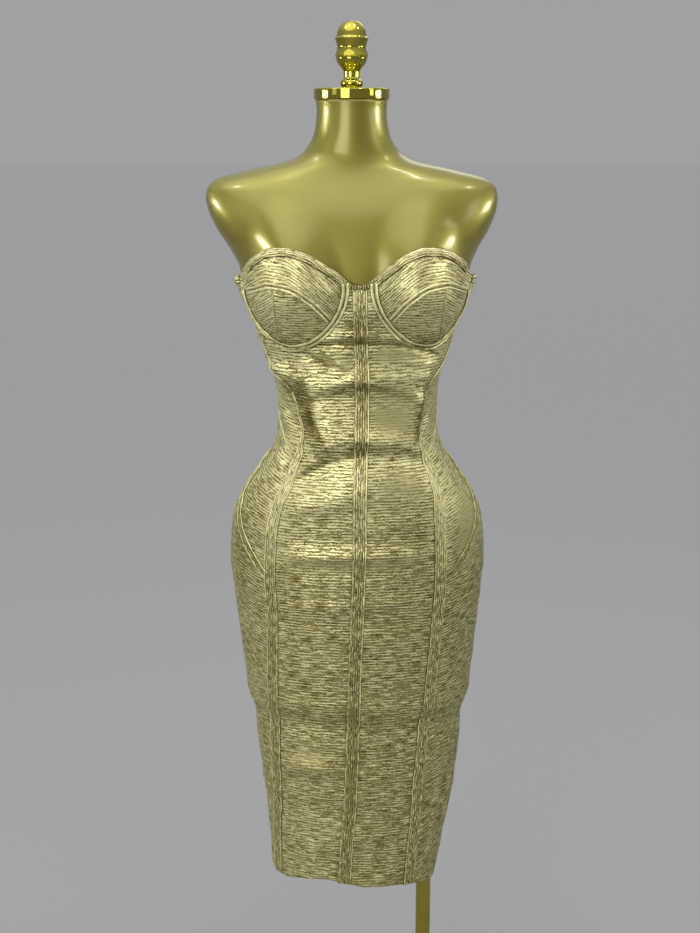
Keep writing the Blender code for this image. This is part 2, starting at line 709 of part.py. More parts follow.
def run_tapes(tree, collection):
    """Lay the tapes that run down the dress: centre front, princess and hip seams."""
    levels = [*LEVELS, 1.180, 1.202, 1.224, 1.2485]
    route = [(0.0, hem_height(0)), *((0.0, level) for level in levels)]
    widths = [CENTRE_TAPE_WIDTH] * len(route)
    band("centre_front_tape", route, widths, tree, TAPE_THICKNESS, collection)
    for side, letter in ((1, "l"), (-1, "r")):
        levels = [*LEVELS, 1.174, 1.189]
        start = princess_angle(hem_height(0), side) * side
        route = [(start, hem_height(start))]
        route += [(princess_angle(level, side) * side, level) for level in levels]
        widths = [princess_width(height) for angle, height in route]
        band(f"princess_tape_{letter}", route, widths, tree, TAPE_THICKNESS, collection)
        route = [(hip_seam(level, side) * side, level) for level in HIP_TAPE_LEVELS]
        widths = [HIP_TAPE_WIDTH] * len(route)
        band(f"hip_tape_{letter}", route, widths, tree, TAPE_THICKNESS, collection)


def cup_bands(side, tree, collection):
    """Lay the underwire channel, the cup seam's band and the neckline's binding."""
    letter = "l" if side > 0 else "r"
    route = placed([wire(station) for station in CHANNEL_STATIONS], side)
    band(f"underwire_channel_{letter}", route, [CHANNEL_WIDTH] * len(route), tree,
         TAPE_THICKNESS, collection, CUP_LIFT)
    route = placed([on_cup_seam(out) for out in steps(*CUP_BAND_ENDS, 12)], side)
    band(f"cup_band_{letter}", route, [CUP_BAND_WIDTH] * len(route), tree,
         TAPE_THICKNESS, collection, CUP_LIFT)
    edge = [on_neckline(out) for out in NECK_BINDING_OUTS]
    route = placed(drawn_in(edge, BINDING_WIDTH / 2), side)
    band(f"neckline_binding_{letter}", route, [BINDING_WIDTH] * len(route), tree,
         BINDING_THICKNESS, collection, CUP_LIFT)


def gore_binding(tree, collection):
    """Lay the gathered binding over the top of the gore."""
    route = []
    for out in steps(-GORE_BINDING_OUT, GORE_BINDING_OUT, GORE_PLEATS * 2):
        height = blend(GORE_MIDDLE[1], GORE_CORNER[1], (out / GORE_CORNER[0]) ** 2)
        route.append((angle_out(out, height), height - GORE_BINDING_WIDTH / 2 - SEAM_GAP))
    band("gore_binding", route, [GORE_BINDING_WIDTH] * len(route), tree, GORE_VALLEY, collection,
         CUP_LIFT, GORE_RELIEF)


def back_binding(side, tree, collection):
    """Lay the binding along the top of the side and back panels."""
    letter = "l" if side > 0 else "r"
    route = [(angle * side, back_top(angle) - BINDING_WIDTH / 2)
             for angle in steps(CUP_CORNER[0] + 3.0, 179.6, BACK_BINDING_STEPS)]
    band(f"back_binding_{letter}", route, [BINDING_WIDTH] * len(route), tree,
         BINDING_THICKNESS, collection, CUP_LIFT)


def make_dress(collection):
    panels = []
    for side in (1, -1):
        panels += body_panels(side, collection)
        panels += cup_pieces(side, collection)
    tree = face_tree(panels)
    run_tapes(tree, collection)
    gore_binding(tree, collection)
    for side in (1, -1):
        cup_bands(side, tree, collection)
        back_binding(side, tree, collection)
    make_zip(tree, collection)


# ---------------------------------------------------------------- the zip's slider and pull
def circle(radius, middle=(0.0, 0.0)):
    """Return the corners of a circle in a plane."""
    turns = [2 * math.pi * index / ZIP_SIDES for index in range(ZIP_SIDES)]
    return [(middle[0] + radius * math.cos(turn), middle[1] + radius * math.sin(turn))
            for turn in turns]


def cut_corners(width, height, corner):
    """Return the corners of a rectangle about the origin with its corners cut off."""
    right, top = width / 2, height / 2
    return [(right - corner, -top), (right, -top + corner), (right, top - corner),
            (right - corner, top), (corner - right, top), (-right, top - corner),
            (-right, corner - top), (corner - right, -top)]


def pull_outline():
    """Return the pull's face in (across, up), from the pin down to its rounded end."""
    turns = [math.radians(turn) for turn in steps(40, -220, ZIP_SIDES)]
    rounded = [(PULL_END_RADIUS * math.cos(turn), PULL_END_RADIUS * math.sin(turn) - PULL_LENGTH)
               for turn in turns]
    return [(-PULL_WIDTH / 2, 0.0), (PULL_WIDTH / 2, 0.0), *rounded]


def prism(outline, start, end, axis):
    """Return a mesh of an outline run from start to end along "across" or "out"."""
    build = bmesh.new()
    ends = []
    for place in (start, end):
        if axis == "across":
            ends.append([build.verts.new((place, a, b)) for a, b in outline])
        else:
            ends.append([build.verts.new((a, place, b)) for a, b in outline])
    low, high = ends
    for index in range(len(outline)):
        after = (index + 1) % len(outline)
        build.faces.new((low[index], low[after], high[after], high[index]))
    build.faces.new(low)
    build.faces.new(high)
    bmesh.ops.recalc_face_normals(build, faces=build.faces)
    mesh = bpy.data.meshes.new("prism")
    build.to_mesh(mesh)
    build.free()
    return mesh


def joined(name, solids, frame, collection):
    """Return one object made of solids joined, or cut, in turn, placed in a frame."""
    helpers = [bpy.data.objects.new("helper", mesh) for mesh, operation in solids]
    for helper in helpers:
        collection.objects.link(helper)
    whole = helpers[0]
    for helper, (mesh, operation) in zip(helpers[1:], solids[1:]):
        tool = whole.modifiers.new("join", "BOOLEAN")
        tool.operation = operation
        tool.solver = "EXACT"
        tool.object = helper
    bpy.context.view_layer.update()
    evaluated = whole.evaluated_get(bpy.context.evaluated_depsgraph_get())
    mesh = bpy.data.meshes.new_from_object(evaluated)
    for helper in helpers:
        bpy.data.objects.remove(helper, do_unlink=True)
    mesh.name = name
    mesh.transform(frame)
    mesh.shade_smooth()
    mesh.set_sharp_from_angle(angle=math.radians(40))
    return add_object(name, mesh, ZIP_METAL, collection)


def axes(across, upward, origin):
    """Return the frame with these two axes, and its "out" axis between them."""
    frame = Matrix((across, upward.cross(across), upward)).transposed().to_4x4()
    frame.translation = origin
    return frame


def make_slider(frame, collection):
    """Make the slider: a plate with two ears and the pin between them."""
    plate = cut_corners(SLIDER_WIDTH, SLIDER_LENGTH, SLIDER_CORNER)
    foot = SLIDER_THICKNESS / 2
    ear = [(foot, EAR_UP - EAR_LENGTH / 2), (PIN_OUT, EAR_UP - EAR_LENGTH / 3),
           (PIN_OUT + 2 * PIN_RADIUS, EAR_UP), (PIN_OUT, EAR_UP + EAR_LENGTH / 3),
           (foot, EAR_UP + EAR_LENGTH / 2)]
    inside = PULL_WIDTH / 2 + PULL_SLACK
    outside = inside + EAR_THICKNESS
    middle = (inside + outside) / 2
    pin = circle(PIN_RADIUS, (PIN_OUT, EAR_UP))
    joined("zip_slider", (
        (prism(plate, 0.0, SLIDER_THICKNESS, "out"), None),
        (prism(ear, inside, outside, "across"), "UNION"),
        (prism(ear, -outside, -inside, "across"), "UNION"),
        (prism(pin, -middle, middle, "across"), "UNION"),
    ), frame, collection)


def make_pull(frame, collection):
    """Make the pull: a flat blade on a barrel that turns on the pin."""
    hole = PIN_RADIUS + PIN_SLACK
    half, thick = PULL_WIDTH / 2, PULL_THICKNESS / 2
    eye = circle(PULL_HOLE_RADIUS, (0.0, -PULL_LENGTH))
    joined("zip_pull", (
        (prism(pull_outline(), -thick, thick, "out"), None),
        (prism(circle(hole + BARREL_WALL), -half, half, "across"), "UNION"),
        (prism(circle(hole), -2 * half, 2 * half, "across"), "DIFFERENCE"),
        (prism(eye, -2 * thick, 2 * thick, "out"), "DIFFERENCE"),
    ), frame, collection)


def make_zip(tree, collection):
    """Seat the slider on the centre back seam, and hang the pull plumb from its pin."""
    middle = (180.0, ZIP_HEIGHT)
    point, normal = skin(*middle)
    across = -slope_vectors(*middle)[0].normalized()
    upward = across.cross(normal)
    corners = [moved(*middle, side * SLIDER_WIDTH / 2, up * SLIDER_LENGTH / 2)
               for side in (-1, 0, 1) for up in (-1, 0, 1)]
    rises = [rise for rise in (rise_at(corner, tree) for corner in corners) if rise is not None]
    foot = point + normal * (LIFT + max(rises))
    make_slider(axes(across, upward, foot), collection)
    pin = foot + normal * PIN_OUT + upward * EAR_UP
    make_pull(axes(across, Vector((0, 0, 1)), pin), collection)


# ---------------------------------------------------------------- the form and its stand
def form_surface(angle, height):
    return surface(angle, height, FORM_SWELL, FORM_FALL)


def make_form(collection):
    """Loft the form through its sections, closed flat at the neck and at the bottom."""
    build = bmesh.new()
    rings = []
    for height in (*FORM_LOW_LEVELS, *LEVELS[6:], *FORM_HIGH_LEVELS):
        ring = []
        for angle in steps(0, 360, FORM_SIDES)[:-1]:
            angle = angle - 360 if angle > 180 else angle
            point, normal = skin(angle, height, form_surface)
            level = Vector((normal.x, normal.y, 0))
            inset = form_inset(height) * min(1 / level.length, STEEPEST)
            ring.append(build.verts.new(point - level.normalized() * inset))
        rings.append(ring)
    for low, high in zip(rings, rings[1:]):
        for index in range(FORM_SIDES):
            after = (index + 1) % FORM_SIDES
            build.faces.new((low[index], low[after], high[after], high[index]))
    build.faces.new(rings[0][::-1])
    build.faces.new(rings[-1])
    bmesh.ops.recalc_face_normals(build, faces=build.faces)
    mesh = bpy.data.meshes.new("display_form")
    build.to_mesh(mesh)
    build.free()
    mesh.shade_smooth()
    mesh.set_sharp_from_angle(angle=math.radians(60))
    add_object("display_form", mesh, PAINT, collection)


def make_stand(collection):
    neck_x, neck_y = NECK_MIDDLE
    cap_bottom = FORM_TOP + SEAM_GAP
    edge = 0.001
    cap = ((0, CAP_THICKNESS), (CAP_RADIUS - edge, CAP_THICKNESS), (CAP_RADIUS, CAP_THICKNESS - edge),
           (CAP_RADIUS, edge), (CAP_RADIUS - edge, 0), (0, 0))
    turned("neck_cap", cap, (neck_x, neck_y, cap_bottom), POLISH, collection)
    finial_bottom = cap_bottom + CAP_THICKNESS + SEAM_GAP - FINIAL[-1][1]
    turned("neck_finial", FINIAL, (neck_x, neck_y, finial_bottom), POLISH, collection)
    pole_top = FORM_BOTTOM - SEAM_GAP
    pole_bottom = BASE_HEIGHT + SEAM_GAP
    pole = ((0, pole_top), (FLANGE_RADIUS, pole_top), (FLANGE_RADIUS, pole_top - FLANGE_HEIGHT),
            (POLE_RADIUS, pole_top - FLANGE_HEIGHT), (POLE_RADIUS, pole_bottom + FLANGE_HEIGHT),
            (FLANGE_RADIUS, pole_bottom + FLANGE_HEIGHT), (FLANGE_RADIUS, pole_bottom),
            (0, pole_bottom))
    turned("stand_pole", pole, (POLE_X, 0, 0), POLISH, collection)
    bevel = 0.003
    base = ((0, BASE_HEIGHT), (BASE_RADIUS - bevel, BASE_HEIGHT), (BASE_RADIUS, BASE_HEIGHT - bevel),
            (BASE_RADIUS, 0), (0, 0))
    turned("stand_base", base, (0, 0, 0), POLISH, collection)


def main():
    for item in list(bpy.data.objects):
        bpy.data.objects.remove(item, do_unlink=True)
    collection = bpy.data.collections.new("bodycon_dress_on_form")
    bpy.context.scene.collection.children.link(collection)
    make_dress(collection)
    make_form(collection)
    make_stand(collection)


main()
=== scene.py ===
"""The looks of the bodycon dress on its display form: cloth, tapes, stitching, form, light, camera.

Every piece of cloth is a thin shell on one shape, the figure, which is the same one that the CAD
solids are cut from. A place on it is an angle round the body, in degrees from the centre front
(the wearer's left is positive), and a height in metres. Folds are soft ridges and troughs on the
figure, so a tape dips and rises with the panels under it. Places are numpy arrays throughout.
"""

import math

import bpy
import numpy as np
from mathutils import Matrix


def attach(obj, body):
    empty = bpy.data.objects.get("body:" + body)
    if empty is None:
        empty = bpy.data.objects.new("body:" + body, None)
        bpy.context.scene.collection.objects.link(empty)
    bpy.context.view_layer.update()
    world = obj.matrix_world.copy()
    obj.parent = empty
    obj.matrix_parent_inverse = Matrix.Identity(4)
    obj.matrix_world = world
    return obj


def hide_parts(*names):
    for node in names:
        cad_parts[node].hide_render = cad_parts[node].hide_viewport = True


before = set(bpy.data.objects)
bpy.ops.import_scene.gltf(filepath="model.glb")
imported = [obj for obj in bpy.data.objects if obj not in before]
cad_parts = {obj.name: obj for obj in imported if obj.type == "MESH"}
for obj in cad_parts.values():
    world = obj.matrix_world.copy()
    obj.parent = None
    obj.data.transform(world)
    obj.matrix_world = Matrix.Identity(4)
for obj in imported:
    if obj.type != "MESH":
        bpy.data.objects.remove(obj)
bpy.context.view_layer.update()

BODY = "dress_and_form"
SIDES = ((1, "l"), (-1, "r"))   # the wearer's left is +X

# ---------------- the figure, as in the CAD
# Columns: height, half_width, front, back, square, shift, turn.
FIGURE = (
    (0.380, 0.1200, 0.065, 0.073, 2.10, 0.0055, -6.9),
    (0.460, 0.1297, 0.070, 0.078, 2.10, 0.0100, -6.5),
    (0.530, 0.1382, 0.074, 0.082, 2.10, 0.0130, -5.2),
    (0.600, 0.1465, 0.078, 0.086, 2.10, 0.0125, -3.6),
    (0.650, 0.1508, 0.080, 0.089, 2.10, 0.0120, -2.8),
    (0.672, 0.1575, 0.086, 0.098, 2.10, 0.0120, -2.4),
    (0.730, 0.1640, 0.090, 0.106, 2.15, 0.0115, -1.7),
    (0.800, 0.1718, 0.096, 0.117, 2.15, 0.0110, -0.6),
    (0.880, 0.1786, 0.100, 0.125, 2.20, 0.0102, 0.6),
    (0.930, 0.1755, 0.101, 0.123, 2.20, 0.0102, 1.0),
    (0.970, 0.1620, 0.099, 0.113, 2.20, 0.0102, 1.0),
    (1.010, 0.1350, 0.095, 0.098, 2.15, 0.0102, 1.5),
    (1.045, 0.1140, 0.089, 0.085, 2.10, 0.0105, 2.1),
    (1.085, 0.1090, 0.083, 0.077, 2.10, 0.0102, 2.8),
    (1.120, 0.1108, 0.083, 0.075, 2.10, 0.0098, 3.2),
    (1.160, 0.1230, 0.089, 0.078, 2.10, 0.0088, 3.0),
    (1.200, 0.1360, 0.096, 0.083, 2.15, 0.0074, 2.7),
    (1.250, 0.1548, 0.100, 0.087, 2.20, 0.0070, 2.2),
    (1.280, 0.1590, 0.099, 0.089, 2.20, 0.0066, 2.0),
    (1.305, 0.1700, 0.095, 0.090, 2.20, 0.0052, 1.0),
    (1.330, 0.1850, 0.089, 0.090, 2.25, 0.0040, 0.4),
    (1.357, 0.1960, 0.080, 0.088, 2.30, 0.0030, 0.0),
    (1.372, 0.1985, 0.073, 0.085, 2.30, 0.0025, 0.0),
    (1.385, 0.1965, 0.066, 0.081, 2.30, 0.0022, 0.0),
    (1.396, 0.1880, 0.060, 0.076, 2.20, 0.0022, 0.0),
    (1.409, 0.1440, 0.054, 0.069, 2.10, 0.0022, 0.0),
    (1.422, 0.0870, 0.050, 0.063, 2.05, 0.0022, 0.0),
    (1.435, 0.0668, 0.048, 0.060, 2.00, 0.0022, 0.0),
    (1.460, 0.0530, 0.047, 0.058, 2.00, 0.0022, 0.0),
    (1.486, 0.0500, 0.047, 0.057, 2.00, 0.0022, 0.0),
    (1.499, 0.0512, 0.048, 0.058, 2.00, 0.0022, 0.0),
)
CUP_OUT, CUP_LEVEL = 0.091, 1.262
CUP_INNER, CUP_OUTER = 0.0725, 0.0595
CUP_DROP, CUP_RISE = 0.080, 0.125
CUP_DEPTH, CUP_FALL = 0.036, 1.3
WIRE_BEND = 2 / 1.75
PRINCESS_TOP = 130
GORE_MIDDLE = (0.0, 1.2635)
GORE_CORNER = (0.0185, 1.2670)
# Columns: distance out from the centre front, height.
NECKLINE = (
    (0.0190, 1.2750), (0.0395, 1.2910), (0.0645, 1.3070), (0.0905, 1.3145),
    (0.1120, 1.3125), (0.1335, 1.3005), (0.1490, 1.2840), (0.1540, 1.2720),
)
GORE_DIP, GORE_SPREAD = 1.2674, 21.0    # the neckline's lowest height, and how fast it rises
CHANNEL_END = (0.0188, 1.2690)          # under the binding at the gore
# How the upper cup's ribs run. Columns: distance out, height.
UPPER_RIBS = (
    (0.0100, 1.2190), (0.0358, 1.2440), (0.0630, 1.2700), (0.0907, 1.2870), (0.1120, 1.2890),
    (0.1350, 1.2790), (0.1493, 1.2660), (0.1600, 1.2540),
)
CUP_SEAM = (
    (0.0358, 1.2160), (0.0630, 1.2465), (0.0907, 1.2640), (0.1120, 1.2668),
    (0.1350, 1.2585), (0.1493, 1.2515),
)
CORNER, SEAM_END = NECKLINE[-1], CUP_SEAM[-1]   # the upper and lower end of the cup's outer edge
# Columns: height, angle on the wearer's right, angle on the wearer's left.
PRINCESS = (
    (0.380, 59.5, 47.5), (0.480, 54.5, 43.5), (0.570, 50.3, 40.2), (0.640, 48.2, 40.0),
    (0.715, 44.4, 39.6), (0.833, 41.2, 38.2), (0.911, 41.2, 37.1), (0.950, 40.9, 38.1),
    (0.992, 40.6, 43.0), (1.020, 42.2, 45.5), (1.041, 42.3, 45.4), (1.062, 42.0, 43.0),
    (1.100, 47.8, 44.8), (1.135, 57.0, 54.5), (1.158, 71.0, 69.5), (1.180, 75.0, 74.0),
)
# Columns: height, angle.
SIDE = (
    (1.040, 54.0), (1.050, 59.5), (1.060, 65.0), (1.070, 72.5), (1.085, 83.0),
    (1.100, 89.0), (1.130, 94.0), (1.170, 97.0), (1.220, 100.0), (1.280, 102.0),
)
HIP = (
    (0.873, 45.0), (0.890, 50.5), (0.905, 56.0), (0.925, 62.5), (0.945, 68.5),
    (0.970, 77.0), (0.990, 81.5), (1.010, 84.5), (1.030, 88.0), (1.060, 94.0),
    (1.100, 104.0), (1.150, 116.0), (1.200, 124.0), (1.280, 131.0),
)
HIP_POINT, WAIST_POINT = 0.865, 1.028
PRINCESS_TAPE = (
    (0.380, 0.0175), (0.900, 0.0185), (1.000, 0.0170), (1.035, 0.0130), (1.060, 0.0070),
    (1.110, 0.0045), (1.210, 0.0045),
)
# Columns: angle, height.
HEM = (
    (-180, 0.3920), (-110, 0.3950), (-63, 0.3970), (-48, 0.3940), (-32, 0.3980), (-13, 0.4020),
    (1, 0.3965), (15, 0.3905), (40, 0.3890), (74, 0.3820), (110, 0.3850), (180, 0.3920),
)
BACK_TOP = ((60, 1.2720), (76, 1.2720), (102, 1.2645), (131, 1.2600), (180, 1.2565))
SEAM_OUTS = (0.1493, 0.1410, 0.1335, 0.1262, 0.1190, 0.1120, 0.0965, 0.0810, 0.0655, 0.0510,
             0.0358)
SEAM_SPLIT = 5              # which of them the lower cup's own seam starts at
NECK_OUTS = (0.1540, 0.1495, 0.1430, 0.1345, 0.1250, 0.1140, 0.1010, 0.0870, 0.0730, 0.0590,
             0.0450, 0.0315, 0.0190)
UPPER_LEVEL = 1.158         # above it the front panels' rows bend up to the underwire
FORM_SWELL, FORM_FALL = 0.030, 2.2
FORM_BOTTOM, FORM_TOP = 0.664, 1.499
INSET = ((0.66, 0.0044), (0.95, 0.0044), (1.03, 0.0036), (1.07, 0.0033), (1.10, 0.0037),
         (1.14, 0.0044), (1.25, 0.0044), (1.30, 0.0038))
STEEPEST = 1.5

# ---------------- the looks' own sizes
CLOTH = 0.0013              # thickness of the shells
SOFT_OUTSIDE, SOFT_INSIDE = 0.0004, 0.0003      # how far their edges are rounded
GRID = 0.0024               # spacing of their points
STRETCH = 1.12              # how far the knit is stretched from its cut, round the body
HEM_BEND = 0.450            # below it the rows of points bend to the hem
GORE_STATION = 18           # up to it the gore's edge stands in for the underwire
FRONT_WIDTH, FRONT_RISE, FRONT_OFFSET = 0.125, 0.10, {1: 5.0, -1: 6.3}
INNER_STATIONS, OUTER_STATIONS = (108, 94, 80, 66, 52, 38), (160, 145, 130, 119, 108)
TAPE, TAPE_STEP, LIFT = 0.0011, 0.0011, 0.0001  # thickness, spacing of points, gap underneath
OVER_HEM, BINDING_INSIDE = 0.0003, 0.0050       # the tapes' ends and the bindings' middles
RIB_HIGH, RIB_PITCH = 0.00016, 0.0032           # the tapes' ribs
EDGE_HIGH, EDGE_IN, EDGE_WIDE, EDGE_ROUND = 0.0006, 0.0013, 0.0007, 0.00035
GATHER_HIGH, GATHER_PITCH, GATHER_STEP = 0.0011, 0.0034, 0.0006
GATHER_REACH, GATHER_EASE = 0.026, 0.008        # how far from the middle, and its ends
STITCH_PITCH, STITCH_HALF, THREAD_HALF = 0.0032, 0.0010, 0.00022
CENTRE_TAPE, CENTRE_TAPE_TOP = 0.0195, 1.2610   # its width, and where it ends under the binding
PRINCESS_WIDEST = max(width for _, width in PRINCESS_TAPE)
# Columns: width, thickness, a roll's share of the half width, the groove's rise.
HIP_TAPE, CHANNEL, CUP_BAND = (
    (0.0112, 0.0014, 0.32, 0.60), (0.0116, 0.0018, 0.76, 0.50), (0.0088, 0.0015, 0.70, 0.55))
SIDE_PIPING, CUP_PIPING = (0.0042, 0.0008), (0.0030, 0.0006)    # width, thickness
BACK_WIDTH, BACK_THICKNESS, NECK_THICKNESS = 0.0105, 0.0015, 0.0017     # of the bindings
GORE_WIDTH, NECK_WIDTH, GORE_HALF, WIDENING = 0.0086, 0.0108, 0.014, 0.02
# Sections of a narrow band, with a rolled middle and edges, and of a binding over an upper edge.
# Columns: share of the half width, share of the thickness.
PIPED = ((1.0, 0.15), (0.92, 0.85), (0.80, 1.25), (0.66, 1.00), (0.54, 0.35), (0.42, 0.85),
         (0.25, 1.08), (0.0, 1.12))
BOUND = ((-1.10, -0.95), (-1.22, -0.45), (-1.22, 0.20), (-1.12, 0.75), (-0.90, 1.12),
         (-0.60, 1.15), (-0.30, 1.08), (0.05, 1.10), (0.30, 1.02), (0.42, 0.70),
         (0.54, 0.98), (0.74, 1.10), (0.92, 0.85), (1.0, 0.30))

# Folds: where each starts and ends, its width to the left and to the right of that heading, its
# height (a trough is negative) and how far its middle is bent upward, these four in millimetres.
# Columns: angle, height, angle, height, left width, right width, rise, bend.
FRONT_FOLDS = (
    (-38, 1.1785, 60, 1.163, 4, 4.4, -7, 19),  # the line under the cups
    (-30, 1.19, 42, 1.183, 4.5, 3.8, 2.4, 14),
    (-84, 1.204, -37, 1.179, 4, 5, -1.8, -3),
    (-70, 1.095, 70, 1.095, 45, 45, 3.5, 0),  # slack over the midriff
    (-78, 1.159, 74, 1.159, 20, 18, 4.2, -15),  # the roll under the cups
    (-80, 1.152, -26, 1.14, 8, 20, 6.4, 0),
    (-43, 1.112, 48, 1.098, 18, 9, 6.2, 35),  # its lower rim
    (-36, 1.181, -19, 1.153, 5, 8, -5.6, 0),
    (-23.5, 1.187, -8, 1.155, 7, 5.5, 5.8, 0),
    (22, 1.169, 60, 1.154, 5, 5, 1.3, -2),
    (12, 1.152, 52, 1.148, 5, 6, 1.4, -7),
    (-42, 1.005, 24, 1.048, 34, 13, 8.5, 30),  # the roll above the waist
    (-4, 1.058, 50, 1.032, 18, 8, 4.6, 4),
    (-36, 1.156, -26, 1.038, 23, 15, 8, 0),  # its left edge, and its right
    (48, 1.156, 35, 1.044, 9, 22, 6.5, 0),
    (-40, 0.996, 44, 1.027, 8, 10, -5, 27.5),  # the fold at the waist
    (-43, 0.964, 6, 0.992, 21, 26, 6.2, 2),  # the top of the belly
    (-6, 1.002, 48, 0.998, 16, 22, 3, 3),
    (-36, 0.956, 38, 0.956, 16, 16, -1, 0),
    (-35, 0.9235, 36, 0.9235, 11, 9, -1.6, 0),
    (-36, 0.8975, 37, 0.901, 9.5, 7.5, 3.6, 2),  # the ridge low on it
    (-34, 0.879, 36, 0.882, 9, 9, -1, 0),
    (-38, 0.826, 38, 0.835, 7, 7, 1.1, 2),
    (-44, 0.802, 28, 0.799, 11, 11, -1, 2),
    (-40, 0.735, 30, 0.728, 13, 12, 1.1, -3),
    (-52, 0.685, 44, 0.679, 8, 8, 1.4, -2),  # over the form's edge
    (-56, 0.644, 46, 0.64, 12, 12, -1.8, 2),
    (-48, 0.578, -6, 0.584, 16, 14, 4.4, 0),
    (2, 0.56, 42, 0.568, 14, 14, 1.2, 0),
    (-52, 0.512, 20, 0.506, 13, 13, -1.2, 3),
    (-44, 0.456, 6, 0.45, 11, 11, 1.1, 2),
    (-4, 0.474, 44, 0.468, 12, 12, 1.1, 2),
    (-76, 1.099, -52, 1.062, 5, 5, 2, 0),  # folds beside the waist
    (-66, 1.106, -48, 1.074, 5, 5, -1.8, 0),
    (-70, 1.038, -50, 1.015, 5, 5, 2.6, 0),
    (-60, 1.048, -46, 1.018, 4, 4.5, -1.8, 0),
    (-47, 1.052, -43, 1.006, 5, 5, 2, 0),
    (62, 1.098, 48, 1.06, 6, 6, 1.8, 0),
    (66, 1.04, 49, 1.016, 5, 5, 1.4, 0),
)
SIDE_FOLDS = (
    (76, 1.05, 112, 1.06, 4, 4, -1.6, 1),  # in the hollow waist
    (74, 1.039, 114, 1.048, 4.5, 4.5, 1.6, 1),
    (78, 1.064, 118, 1.073, 4.5, 4.5, 1.2, -1),
    (72, 1.026, 112, 1.033, 5, 5, -1.2, 1),
    (80, 1.086, 122, 1.094, 6, 6, -1, 0),
    (46, 0.99, 80, 0.956, 8, 8, -0.8, 0),
    (52, 0.852, 90, 0.878, 11, 11, 1, 0),
    (60, 0.828, 100, 0.85, 11, 11, -0.9, 0),
    (62, 0.738, 104, 0.726, 13, 13, 1, 0),
    (60, 0.686, 118, 0.683, 8, 8, 1.4, 0),
    (62, 0.642, 118, 0.64, 13, 13, -1.8, 0),
    (64, 0.54, 112, 0.532, 15, 15, 1.2, 0),
    (58, 0.46, 110, 0.452, 14, 14, -1, 0),
    (82, 1.232, 104, 1.22, 7, 7, -1, 0),
    (76, 1.195, 110, 1.178, 8, 8, 1.4, 0),
    (78, 1.16, 112, 1.15, 9, 7, 1.6, 0),
)
BACK_FOLDS = (
    (122, 1.072, 178, 1.061, 6, 6, -2.6, -6),  # the small of the back
    (118, 1.059, 178, 1.048, 7, 6, 3.2, -6),
    (126, 1.046, 177, 1.033, 6, 6, -2, -5),
    (130, 1.032, 176, 1.02, 8, 8, 2.2, -4),
    (124, 1.09, 174, 1.086, 10, 7, 2.4, -4),
    (132, 1.115, 177, 1.108, 6, 6, -1.2, -2),
    (128, 1.16, 176, 1.156, 10, 8, 1.4, 0),
    (126, 1.205, 176, 1.202, 9, 9, 1, 0),
    (120, 0.77, 178, 0.786, 11, 11, -2, -8),  # under the seat
    (122, 0.752, 178, 0.766, 11, 11, 1.8, -8),
    (118, 0.686, 178, 0.686, 8, 8, 1.4, 0),
    (118, 0.643, 178, 0.641, 14, 14, -1.8, 0),
    (124, 0.56, 176, 0.55, 15, 15, 1.2, 4),
    (126, 0.48, 174, 0.472, 14, 14, -1.2, 3),
    (126, 0.978, 170, 0.968, 10, 10, 0.8, 0),
)
# Painted shade as more broken foil: in the creases, on the folds' down-facing flanks, over the gore
# and where light falls too bright. Painted highlight as fresher foil where negative. Elsewhere,
# foil that is more or less broken. Thousandths in place of the rise.
SHADE_AND_WEAR = (
    # painted shade on the down-facing flank left of the midriff and in its wedge
    (-66, 1.134, -38, 1.108, 12, 15, 150, 0),  # left of the midriff
    (-38, 1.16, -33, 1.062, 4, 18, 165, 0),
    (-38, 1.106, -21, 1.036, 4, 15, 170, 0),
    # painted shade in the fold over the waist and under the arch
    (-38, 1.007, 14, 1.052, 6.5, 6.5, 180, 14),  # over the waist
    (10, 1.054, 46, 1.033, 3.5, 3.5, 120, 4),
    (-30, 1.11, 40, 1.098, 7, 7, 90, 27),  # the arch
    # painted shade in the creases under the cups
    (-44, 1.177, 62, 1.162, 2, 2.6, 280, 21),  # under the cups
    (-82, 1.204, -36, 1.179, 3, 3, 120, -3),
    (-36, 1.181, -19, 1.154, 4, 4, 120, 0),
    # painted shade on the flank right of the midriff
    (51, 1.144, 36, 1.05, 11, 11, 150, -6),  # right of the midriff
    # painted shade over the gore, and on the upper cups where the light falls too bright
    (-14, 1.21, 14, 1.21, 30, 26, 80, 0),  # the gore
    (-66, 1.268, -22, 1.262, 13, 20, 30, 12),  # the upper cups
    (66, 1.268, 30, 1.264, 13, 20, 45, 12),
    (-64, 1.01, -62, 0.84, 30, 30, 60, 0),  # the left hip
    (6, 0.942, 36, 0.94, 30, 30, 50, 0),  # right of the belly
    (-34, 0.465, -4, 0.465, 70, 80, -30, 0),  # left of the hem
    (0, 0.38, 0, 1.22, 9, 9, 45, 0),  # the centre tape
    (0, 0.34, 0, 0.7, 9, 9, 25, 0),
    (0, 1.02, 0, 1.26, 9, 9, 80, 0),
    # painted shade at the foot of the cups
    (-64, 1.194, -34, 1.19, 12, 9, 80, -6),  # the foot of the cups
    (60, 1.196, 26, 1.196, 12, 11, 100, -6),
    # painted highlight on the princess tapes over the hips
    (-41, 0.86, -42, 1.05, 9, 9, -50, 0),  # the princess tapes
    (38, 0.86, 45, 1.05, 9, 9, -50, 0),
)
